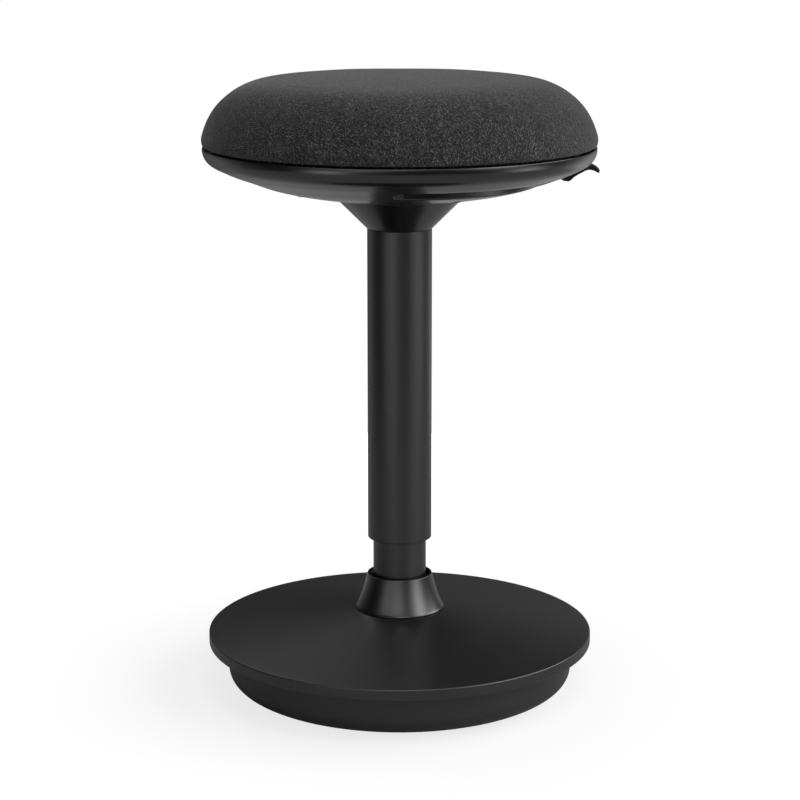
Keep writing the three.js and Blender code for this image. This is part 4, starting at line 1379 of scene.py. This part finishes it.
        at_end = np.arange(-self.column_reach, self.column_reach, self.column_fine)
        fine = np.concatenate([at_end + self.groove_from - self.column_shift,
                               at_end + self.groove_to + self.column_shift])
        coarse = np.arange(-180, 180, self.column)
        coarse = coarse[np.abs(coarse[:, None] - fine).min(axis=1) > self.column_least]
        angle = np.radians(np.sort(np.concatenate([fine, coarse])))[:, None]
        x, y = np.cos(angle) * profile[:, 0], np.sin(angle) * profile[:, 0]
        height = np.broadcast_to(profile[:, 1], x.shape).copy()
        n = len(outside)
        height[:, :n] = self.outer(height[:, :n], x[:, :n], y[:, :n])
        low = slice(n + len(rolled), None)
        height[:, low] = self.inner(height[:, low], x[:, low], y[:, low])
        shell = solid("seat_pan", np.stack([x, y, height], axis=-1), grid_faces(*x.shape, True, True))
        hole = self.screw.hole(self.screw_seat, *self.drill_heights)
        return cut(shell, [*copies("pan_drill", hole, 40, self.screw_places()), self.slot()])

    def slot(self) -> bpy.types.Object:
        """Cutter for the lever's slot: a block along the lever, drawn in at both ends by each station's inset."""
        (low, high), half = self.slot_heights, self.slot_half
        z, y = np.array([(low, -half), (high, -half), (high, half), (low, half)]).T
        x, inset = np.array(self.slot_ends).T
        block = np.broadcast_arrays(x[:, None], y * (1 - inset / half)[:, None], z)
        faces = grid_faces(len(x), len(z), False, True)
        return solid("slot_cutter", turned(*block, self.slot_turn), faces, end_caps(len(x), len(z)))

    def build(self, shop: Workshop) -> None:
        """Makes and dresses the pan and its screws, and the steel above it."""
        shop.fit(self.shell(), Body.SEAT, Slot.PLASTIC, "seat_pan")
        self.screw.fit(shop, "pan_screw", self.screw_places(), self.screw_seat, Body.SEAT)
        shop.dress(Slot.BLACK_STEEL, "taper_hub", "mechanism_plate")
        shop.dress(Slot.BARE_STEEL, *numbered("plate_bolt", 4), *numbered("t_nut", 4))
        shop.dress(Slot.PLYWOOD, "seat_board")


@dataclass
class Cushion:
    """Moulded foam under a stretched twill cover. Its lower edge is closed and sits over the pan's rim."""

    radius: float = 181.7
    seam: float = 521.1
    height: float = 63.5
    shares: tuple = (
        (0.9956, 0.0), (1.0, 0.094), (0.991, 0.189), (0.977, 0.299), (0.955, 0.425), (0.925, 0.551),
        (0.881, 0.677), (0.829, 0.787), (0.76, 0.877), (0.655, 0.937), (0.523, 0.965), (0.25, 0.997),
    )
    gather: float = 0.1  # how much the rings of the grid close up at the seam
    rest: float = 520.5  # height of its underside on the board
    board: float = 165.0
    off_board: float = 6.0  # mm beside the board over which the underside comes down to the seam
    cells: int = 88
    pressure: float = 4.0
    frames: int = 20  # of cloth simulation
    pinned: tuple = (0.93, 0.985)  # rings from which the cover is held a little, and from which it is held fast
    cap: float = 6.0  # mm that a point may move under the pressure
    passes: int = 40  # of smoothing
    slack: float = 0.5  # mm of unevenness that is kept from it
    crease_radius: float = 119.0
    crease_height: float = 0.5
    crease_width: float = 2.4
    crease_from: float = -150.0  # degrees from +X
    crease_to: float = -112.0
    crease_fades: tuple = (8.0, 16.0)  # degrees over which it comes and goes
    crease_over: float = 20.0  # mm over the seam, under which nothing is raised
    shoulder: tuple = (150.0, 172.0)  # radii between which the cloth's lie changes from the top's to the side's
    hem_top: float = 520.9
    hem_low: float = 507.8
    hem_tuck: float = 15.0  # how far it runs in under the board
    cloth: float = 1.8  # thickness of the hem
    gap: float = 0.3  # between the board and the hem

    def profile(self) -> tuple[np.ndarray, np.ndarray]:
        """Section of the top from the crown to the seam.

        Returns:
            Length along the section, and the (radius, height) there.
        """
        side = np.array(self.shares)[::-1] * (self.radius, self.height) + (0, self.seam)
        mirrored, per_span = side[:1] * (-1, 1), 40
        curve = flowing(np.vstack([mirrored, [(0, self.seam + self.height)], side]), per_span)[per_span:]
        return lengths_along(curve), curve

    def sheets(self) -> tuple[np.ndarray, np.ndarray, np.ndarray]:
        """Square grid laid over the round seat.

        Rings of the square become rings of the seat: t = max(|a|, |b|), and the place on a ring's side turns
        evenly: angle = 45 degrees * (smaller / larger). The top's point is at t (1 + g - g t^5) of the
        section's length, where g is the gather, so the rings close up at the seam; the underside's is at the
        same share of the seam's radius.

        Returns:
            Points of the top and of the underside, and t for each.
        """
        a, b = np.meshgrid(*[np.linspace(-1, 1, self.cells + 1)] * 2, indexing="ij")
        t = np.maximum(np.abs(a), np.abs(b))
        wide = np.abs(a) >= np.abs(b)
        larger, smaller = np.where(wide, a, b), np.where(wide, b, a)
        share = np.divide(smaller, larger, out=np.zeros_like(a), where=larger != 0)
        angle = np.where(wide, share, 2 - share) * math.pi / 4 + np.where(larger < 0, math.pi, 0)
        length, curve = self.profile()
        eased = t * (1 + self.gather - self.gather * t**5)
        radius = np.interp(eased * length[-1], length, curve[:, 0])
        height = np.interp(eased * length[-1], length, curve[:, 1])
        top = np.stack([radius * np.cos(angle), radius * np.sin(angle), height], axis=-1)
        under = eased * curve[-1, 0]
        drop = (self.seam - self.rest) * (1 - step(self.board, self.board + self.off_board, under))
        below = np.stack([under * np.cos(angle), under * np.sin(angle), self.seam - drop], axis=-1)
        below[t == 1] = top[t == 1]
        return top, below, t

    def swell(self, piece: bpy.types.Object, t: np.ndarray) -> None:
        """Inflates the cover as cloth and keeps what differs round each ring, so the measured section stays.

        Args:
            piece: the closed cover; its mesh gets the result.
            t: ring of each vertex, over 1 on the underside.
        """
        pinned = np.round(np.where(t > 1, 1, step(*self.pinned, t)), 3)
        group = piece.vertex_groups.new(name="pinned")
        for weight in np.unique(pinned):
            group.add(np.flatnonzero(pinned == weight).tolist(), float(weight), "REPLACE")
        cloth = piece.modifiers.new("swell", "CLOTH")
        cloth.settings.quality = 5
        cloth.settings.mass = 0.3
        cloth.settings.tension_stiffness = cloth.settings.compression_stiffness = 15
        cloth.settings.shear_stiffness = 5
        cloth.settings.bending_stiffness = 0.5
        cloth.settings.use_pressure = True
        cloth.settings.uniform_pressure_force = self.pressure
        cloth.settings.vertex_group_mass = group.name
        cloth.settings.effector_weights.gravity = 0
        cloth.point_cache.frame_start, cloth.point_cache.frame_end = 1, self.frames
        rest = corners_of(piece)
        for frame in range(1, self.frames + 1):
            bpy.context.scene.frame_set(frame)
        move = corners_of(piece.evaluated_get(bpy.context.evaluated_depsgraph_get())) - rest
        piece.modifiers.remove(cloth)
        piece.vertex_groups.clear()
        bpy.context.scene.frame_set(1)
        far = np.linalg.norm(move, axis=1, keepdims=True)
        move *= np.minimum(1, self.cap * MM / np.maximum(far, TINY))
        normals = np.zeros(rest.size, np.float32)
        piece.data.vertex_normals.foreach_get("vector", normals)
        normals = normals.reshape(-1, 3)
        outwards = (move * normals).sum(axis=1)
        ring = np.round(t * self.cells / 2).astype(int)
        mean = np.bincount(ring, outwards) / np.maximum(np.bincount(ring), 1)
        LOG.info("cushion swells by %.2f mm at most", outwards.max() / MM)
        kept = self.softened((outwards - mean[ring]) * (t <= 1))
        put_corners(piece, rest + normals * kept[:, None])

    def softened(self, lift: np.ndarray) -> np.ndarray:
        """Lift of each vertex, smoothed over the top's grid and scaled down to a well-filled cover's slack.

        Each pass takes the mean of a point and its four neighbours. The underside keeps no lift.

        Args:
            lift: metres along the normal, the top's grid first.

        Returns:
            The smoothed lift, at most `slack` millimetres.
        """
        side = self.cells + 1
        grid = lift[: side * side].reshape(side, side)
        for _ in range(self.passes):
            wide = np.pad(grid, 1, mode="edge")
            grid = (grid + wide[2:, 1:-1] + wide[:-2, 1:-1] + wide[1:-1, 2:] + wide[1:-1, :-2]) / 5
        most = max(np.abs(grid).max(), TINY)
        return np.concatenate([grid.ravel() * min(1, self.slack * MM / most), lift[side * side :] * 0])

    def crease(self, piece: bpy.types.Object) -> None:
        """Raises a faint fold on the top's shoulder: its height times exp(-(d / width)^2), d across the fold.

        Args:
            piece: the cushion, whose mesh is changed.
        """
        place = corners_of(piece)
        radius, angle = np.hypot(place[:, 0], place[:, 1]) / MM, np.arctan2(place[:, 1], place[:, 0])
        angle, (coming, going) = np.degrees(angle), self.crease_fades
        along = step(self.crease_from, self.crease_from + coming, angle)
        along = along * (1 - step(self.crease_to - going, self.crease_to, angle))
        across = (radius - self.crease_radius) / self.crease_width
        fold = self.crease_height * np.exp(-(across**2)) * along
        place[:, 2] += fold * MM * (place[:, 2] > (self.seam + self.crease_over) * MM)
        put_corners(piece, place)

    def weave(self, piece: bpy.types.Object) -> None:
        """Lays the cloth's own plane over the seat: (length from the crown) times (cos, sin) of the angle.

        The length is read from the radius on the top, from the height on the side, and from both between.

        Args:
            piece: the cushion or its hem; it gets a UV map in metres.
        """
        x, y, z = corners_of(piece).T
        length, curve = self.profile()
        widest = np.argmax(curve[:, 0])
        radius = np.hypot(x, y) / MM
        on_side = z / MM < curve[widest, 1] + 1
        flat = np.interp(radius, curve[: widest + 1, 0], length[: widest + 1])
        down = np.interp(-z / MM, -curve[:, 1], length)
        steep = step(*self.shoulder, radius)
        spread = np.where(on_side, down, flat * (1 - steep) + down * steep) * MM
        reach = np.maximum(radius * MM, TINY)
        flat_map = np.stack([spread * x / reach, spread * y / reach], axis=1)
        loops = np.zeros(len(piece.data.loops), np.int32)
        piece.data.loops.foreach_get("vertex_index", loops)
        layer = piece.data.uv_layers.new(name="weave")
        layer.data.foreach_set("uv", flat_map[loops].astype(np.float32).ravel())

    def body(self) -> bpy.types.Object:
        """The closed cushion: top and underside meet at the seam."""
        top, below, t = self.sheets()
        quads = grid_faces(self.cells + 1, self.cells + 1, False, False)
        inside = t.ravel() < 1
        number = np.where(inside, t.size + np.cumsum(inside) - 1, np.arange(t.size))
        points = np.concatenate([top.reshape(-1, 3), below.reshape(-1, 3)[inside]])
        piece = solid("cushion", points, np.concatenate([quads, number[quads[:, ::-1]]]), [])
        self.swell(piece, np.concatenate([t.ravel(), t.ravel()[inside] + 2]))
        smooth = piece.modifiers.new("smooth", "SUBSURF")
        smooth.levels = smooth.render_levels = 1
        settle(piece)
        self.crease(piece)
        self.weave(piece)
        return piece

    def hem(self) -> bpy.types.Object:
        """Cover turned down beside the board and stapled under it: a thin ring with rounded folds."""
        edge, top, low, tuck = self.board + self.gap, self.hem_top, self.hem_low, self.hem_tuck
        corners = [(edge, top), (edge, low), (edge - tuck, low), (edge - tuck, low - self.cloth),
                   (edge + self.cloth, low - self.cloth), (edge + self.cloth, top)]
        outline = rounded(corners, [0.4, 0.3, 0.4, 0.4, 1.6, 0.4], steps=4)
        piece = revolved("cover_hem", outline, segments=160)
        self.weave(piece)
        return piece

    def build(self, shop: Workshop) -> None:
        """Makes and dresses the cushion."""
        cushion = shop.fit(self.body(), Body.SEAT, Slot.FABRIC, "seat_cover", "seat_foam")
        shop.fit(self.hem(), Body.SEAT, Slot.FABRIC)


@dataclass
class Lever:
    """Flat steel arm on a pin under the seat, with a moulded grip that curls out past the pan."""

    turn: float = 8.0  # degrees from +X
    pivot: float = 70.0
    height: float = 484.35
    width: float = 14.0
    thickness: float = 2.5
    arm_edge: float = 0.4  # rounding of the arm's long edges
    eye_bore: float = 3.3
    eye_radius: float = 5.0
    sharp: float = 50.0  # degrees; edges over this are shaded sharp
    line: tuple = ((-8.0, 484.35), (99.9, 484.35), (125.0, 481.35), (140.2, 484.95), (150.0, 488.2),
                   (157.9, 489.3), (163.0, 490.95))
    grip_start: float = 152.0
    grip_foot: float = 485.1
    grip_length: float = 34.0
    grip_height: float = 15.2
    grip_width: float = 20.0
    grip_edge: float = 0.6  # rounding of the grip's side edges
    grip_shares: tuple = (
        (0.0, 0.02), (0.15, 0.0), (0.31, 0.27), (0.49, 0.49), (0.69, 0.67), (0.86, 0.6), (0.98, 0.48),
        (1.0, 0.63), (0.92, 0.88), (0.82, 1.0), (0.69, 0.975), (0.55, 0.79), (0.37, 0.615), (0.19, 0.46),
        (0.0, 0.335),
    )

    def edged(self, width: float, edge: float, steps: int) -> list:
        """Stations across a width whose two edges are rounded by arcs.

        At angle a of the arc the inset is edge (1 - sin a), and the place is edge (1 - cos a) inside the side.

        Args:
            width: from side to side.
            edge: radius of the arcs.
            steps: steps along each.

        Returns:
            Pairs of place and inset.
        """
        a = np.linspace(0, QUARTER_TURN, steps + 1)
        place, inset = width / 2 - edge + edge * np.cos(a), edge * (1 - np.sin(a))
        left = list(zip((-place).tolist(), inset.tolist()))
        return left + [(-y, i) for y, i in left[::-1]]

    def arm(self) -> bpy.types.Object:
        """Bent flat bar with a round eye on the pivot pin."""
        middle = flowing(np.array(self.line), 10)
        upper, lower = beside(middle, self.thickness / 2), beside(middle, -self.thickness / 2)
        stations = self.edged(self.width, self.arm_edge, steps=2)
        bar = swept("lever_arm_fine", np.vstack([lower, upper[::-1]]), stations, self.turn)
        bore, eye, half = self.eye_bore, self.eye_radius, self.width / 2
        corners = [(bore, -half), (eye, -half), (eye, half), (bore, half)]
        ring = rounded(corners, [0.2, 0.4, 0.4, 0.2], steps=3)
        angle = np.arange(40) * FULL_TURN / 40
        radius, across = ring.T
        x = self.pivot + np.outer(np.cos(angle), radius)
        z = self.height + np.outer(np.sin(angle), radius)
        points = turned(x, np.broadcast_to(across, x.shape), z, self.turn)
        arm = joined(bar, solid("lever_eye", points, grid_faces(*x.shape, True, True)))
        arm.data.set_sharp_from_angle(angle=math.radians(self.sharp))
        return arm

    def grip(self) -> bpy.types.Object:
        """Moulded grip: one smooth outline drawn across, with rounded side edges."""
        side = np.array(self.grip_shares) * (self.grip_length, self.grip_height)
        curve = flowing(side + (self.grip_start, self.grip_foot), per_span=6)
        stations = self.edged(self.grip_width, self.grip_edge, steps=4)
        return swept("lever_handle_fine", curve, stations, self.turn)

    def build(self, shop: Workshop) -> None:
        """Makes and dresses the lever."""
        shop.fit(self.arm(), Body.LEVER, Slot.BLACK_STEEL, "lever_arm")
        shop.fit(self.grip(), Body.LEVER, Slot.PLASTIC, "lever_handle")
        shop.dress(Slot.BLACK_STEEL, "lever_bracket")
        shop.dress(Slot.BARE_STEEL, "pivot_pin")


@dataclass(frozen=True)
class Glow:
    """Round soft light in the surround, which the stool sees and the camera doesn't."""

    name: str
    azimuth: float  # degrees from the camera's side, positive to the right
    elevation: float  # degrees over the horizon
    spread: float  # degrees from its middle to where it is half as bright
    strength: float  # radiance in its middle

    def middle(self) -> tuple[float, float, float]:
        """Direction of its middle: (sin a cos e, -cos a cos e, sin e)."""
        a, e = math.radians(self.azimuth), math.radians(self.elevation)
        return math.sin(a) * math.cos(e), -math.cos(a) * math.cos(e), math.sin(e)

    def light(self, tree: bpy.types.NodeTree, way: bpy.types.NodeSocket) -> bpy.types.Node:
        """Radiance: strength * exp(k (way . middle - 1)), where k = ln 2 / (1 - cos spread).

        Args:
            tree: the surround's nodes.
            way: direction that is looked in.

        Returns:
            A node with the radiance in that direction.
        """
        k = math.log(2) / (1 - math.cos(math.radians(self.spread)))
        near = {0: way, 1: self.middle()}
        near = add_node(tree, "ShaderNodeVectorMath", near, operation="DOT_PRODUCT", label=self.name)
        power = {0: near.outputs["Value"], 1: k, 2: math.log(self.strength) - k}
        power = add_node(tree, "ShaderNodeMath", power, operation="MULTIPLY_ADD")
        return add_node(tree, "ShaderNodeMath", {0: power}, operation="EXPONENT")


@dataclass
class Studio:
    """Plain pale floor, white surround with soft lights in it, and the camera where the photographer's was."""

    floor_radius: float = 1050.0
    floor_tone: str = "b0b0b0"
    floor_share: float = 0.55  # part of the floor's own shading that the camera sees, to keep its shadow faint
    floor_lift: float = 0.76  # light added to the floor as the camera sees it
    floor_fade: float = 0.6  # more of it, times the distance in metres squared, to melt into the surround
    floor_rings: int = 7
    floor_segments: int = 128
    ambient: float = 0.03
    glows: tuple = (
        Glow("left back", -155, 45, 8.6, 2.3),
        Glow("left ground", -128, -20, 22, 0.34),
        Glow("left floor", -44, -24, 8.7, 2.0),
        Glow("left panel", -41, 20, 14, 1.08),
        Glow("left low", -23, -5, 9.5, 0.84),
        Glow("front", -5, 25, 16.5, 1.55),
        Glow("overhead", 13, 68, 8.7, 5.6),
        Glow("key", 60, 20, 16, 4.1),
        Glow("key high", 68, 40, 8.7, 4.0),
        Glow("right floor", 82, -25, 9.5, 2.2),
        Glow("right side", 108, 31, 13, 5.6),
        Glow("right ground", 142, -25, 20, 0.85),
        Glow("right back", 160, 12, 8.7, 0.5),
        Glow("ground back", 178, -21, 8.7, 0.4),
    )
    lens: float = 104.58
    stand: tuple = (0.00034, -2.132, 0.7542)
    pitch: float = 77.47  # degrees from straight down

    def floor(self) -> None:
        """Round matt floor under the stool, pale paper.

        The camera sees part of its shading plus an even light of its own, so that it melts into the surround.
        """
        angle = np.arange(self.floor_segments) * FULL_TURN / self.floor_segments
        rings = np.linspace(0, self.floor_radius, self.floor_rings)[:, None]
        points = np.stack([rings * np.cos(angle), rings * np.sin(angle), rings * 0 * angle], axis=-1)
        quads = grid_faces(self.floor_rings, self.floor_segments, False, True)[:, ::-1]
        corners, faces = welded(points.reshape(-1, 3) * MM, quads)
        mesh = bpy.data.meshes.new("floor")
        mesh.from_pydata(corners.tolist(), [], faces)
        material = bpy.data.materials.new("pale_paper")
        tree = bare_tree(material)
        place = add_node(tree, "ShaderNodeTexCoord").outputs["Object"]
        seen = add_node(tree, "ShaderNodeLightPath").outputs["Is Camera Ray"]
        share = {"Value": seen, "To Min": 1.0, "To Max": self.floor_share}
        paper = {0: linear(self.floor_tone)[:3], "Scale": add_node(tree, "ShaderNodeMapRange", share)}
        tone = add_node(tree, "ShaderNodeVectorMath", paper, operation="SCALE")
        reach = add_node(tree, "ShaderNodeVectorMath", {0: place, 1: place}, operation="DOT_PRODUCT")
        fade = {0: reach.outputs["Value"], 1: self.floor_fade, 2: self.floor_lift}
        fade = add_node(tree, "ShaderNodeMath", fade, operation="MULTIPLY_ADD")
        lift = add_node(tree, "ShaderNodeMath", {0: seen, 1: fade}, operation="MULTIPLY")
        shader = add_node(tree, "ShaderNodeBsdfPrincipled", {
            "Base Color": tone, "Roughness": 1.0, "Specular IOR Level": 0.0,
            "Emission Color": (1, 1, 1, 1), "Emission Strength": lift})
        add_node(tree, "ShaderNodeOutputMaterial", {"Surface": shader})
        mesh.materials.append(material)
        in_scene("floor", mesh)

    def surround(self) -> None:
        """White surround for the camera; the stool sees the glows and a little light from everywhere."""
        world = bpy.data.worlds.new("surround")
        bpy.context.scene.world = world
        tree = bare_tree(world)
        way = add_node(tree, "ShaderNodeTexCoord").outputs["Generated"]
        level = self.ambient
        for glow in self.glows:
            level = add_node(tree, "ShaderNodeMath", {0: level, 1: glow.light(tree, way)}, operation="ADD")
        seen = add_node(tree, "ShaderNodeLightPath").outputs["Is Camera Ray"]
        choice = {"Factor": seen, "A": level, "B": 1.0}
        strength = add_node(tree, "ShaderNodeMix", choice, data_type="FLOAT")
        light = add_node(tree, "ShaderNodeBackground", {"Color": (1, 1, 1, 1), "Strength": strength})
        add_node(tree, "ShaderNodeOutputWorld", {"Surface": light})

    def camera(self) -> None:
        """Camera fitted to the photograph: 12.5 degrees down, from 2.1 m."""
        data = bpy.data.cameras.new("camera")
        data.lens, data.sensor_width, data.clip_end = self.lens, 36.0, 50.0
        camera = in_scene("camera", data)
        camera.location = self.stand
        camera.rotation_euler = (math.radians(self.pitch), 0, 0)
        bpy.context.scene.camera = camera

    def build(self) -> None:
        """Sets up the studio."""
        bpy.context.scene.view_settings.view_transform = "Standard"
        self.floor()
        self.surround()
        self.camera()


def main() -> None:
    """Builds the stool's looks round the frame."""
    logging.basicConfig(level=logging.INFO, format="%(message)s")
    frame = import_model()
    shop = Workshop(frame["nodes"])
    Studio().build()
    for assembly in (Base(), Column(), Covers(), SeatPan(), Lever(), Cushion()):
        assembly.build(shop)


if __name__ == "__main__":
    main()
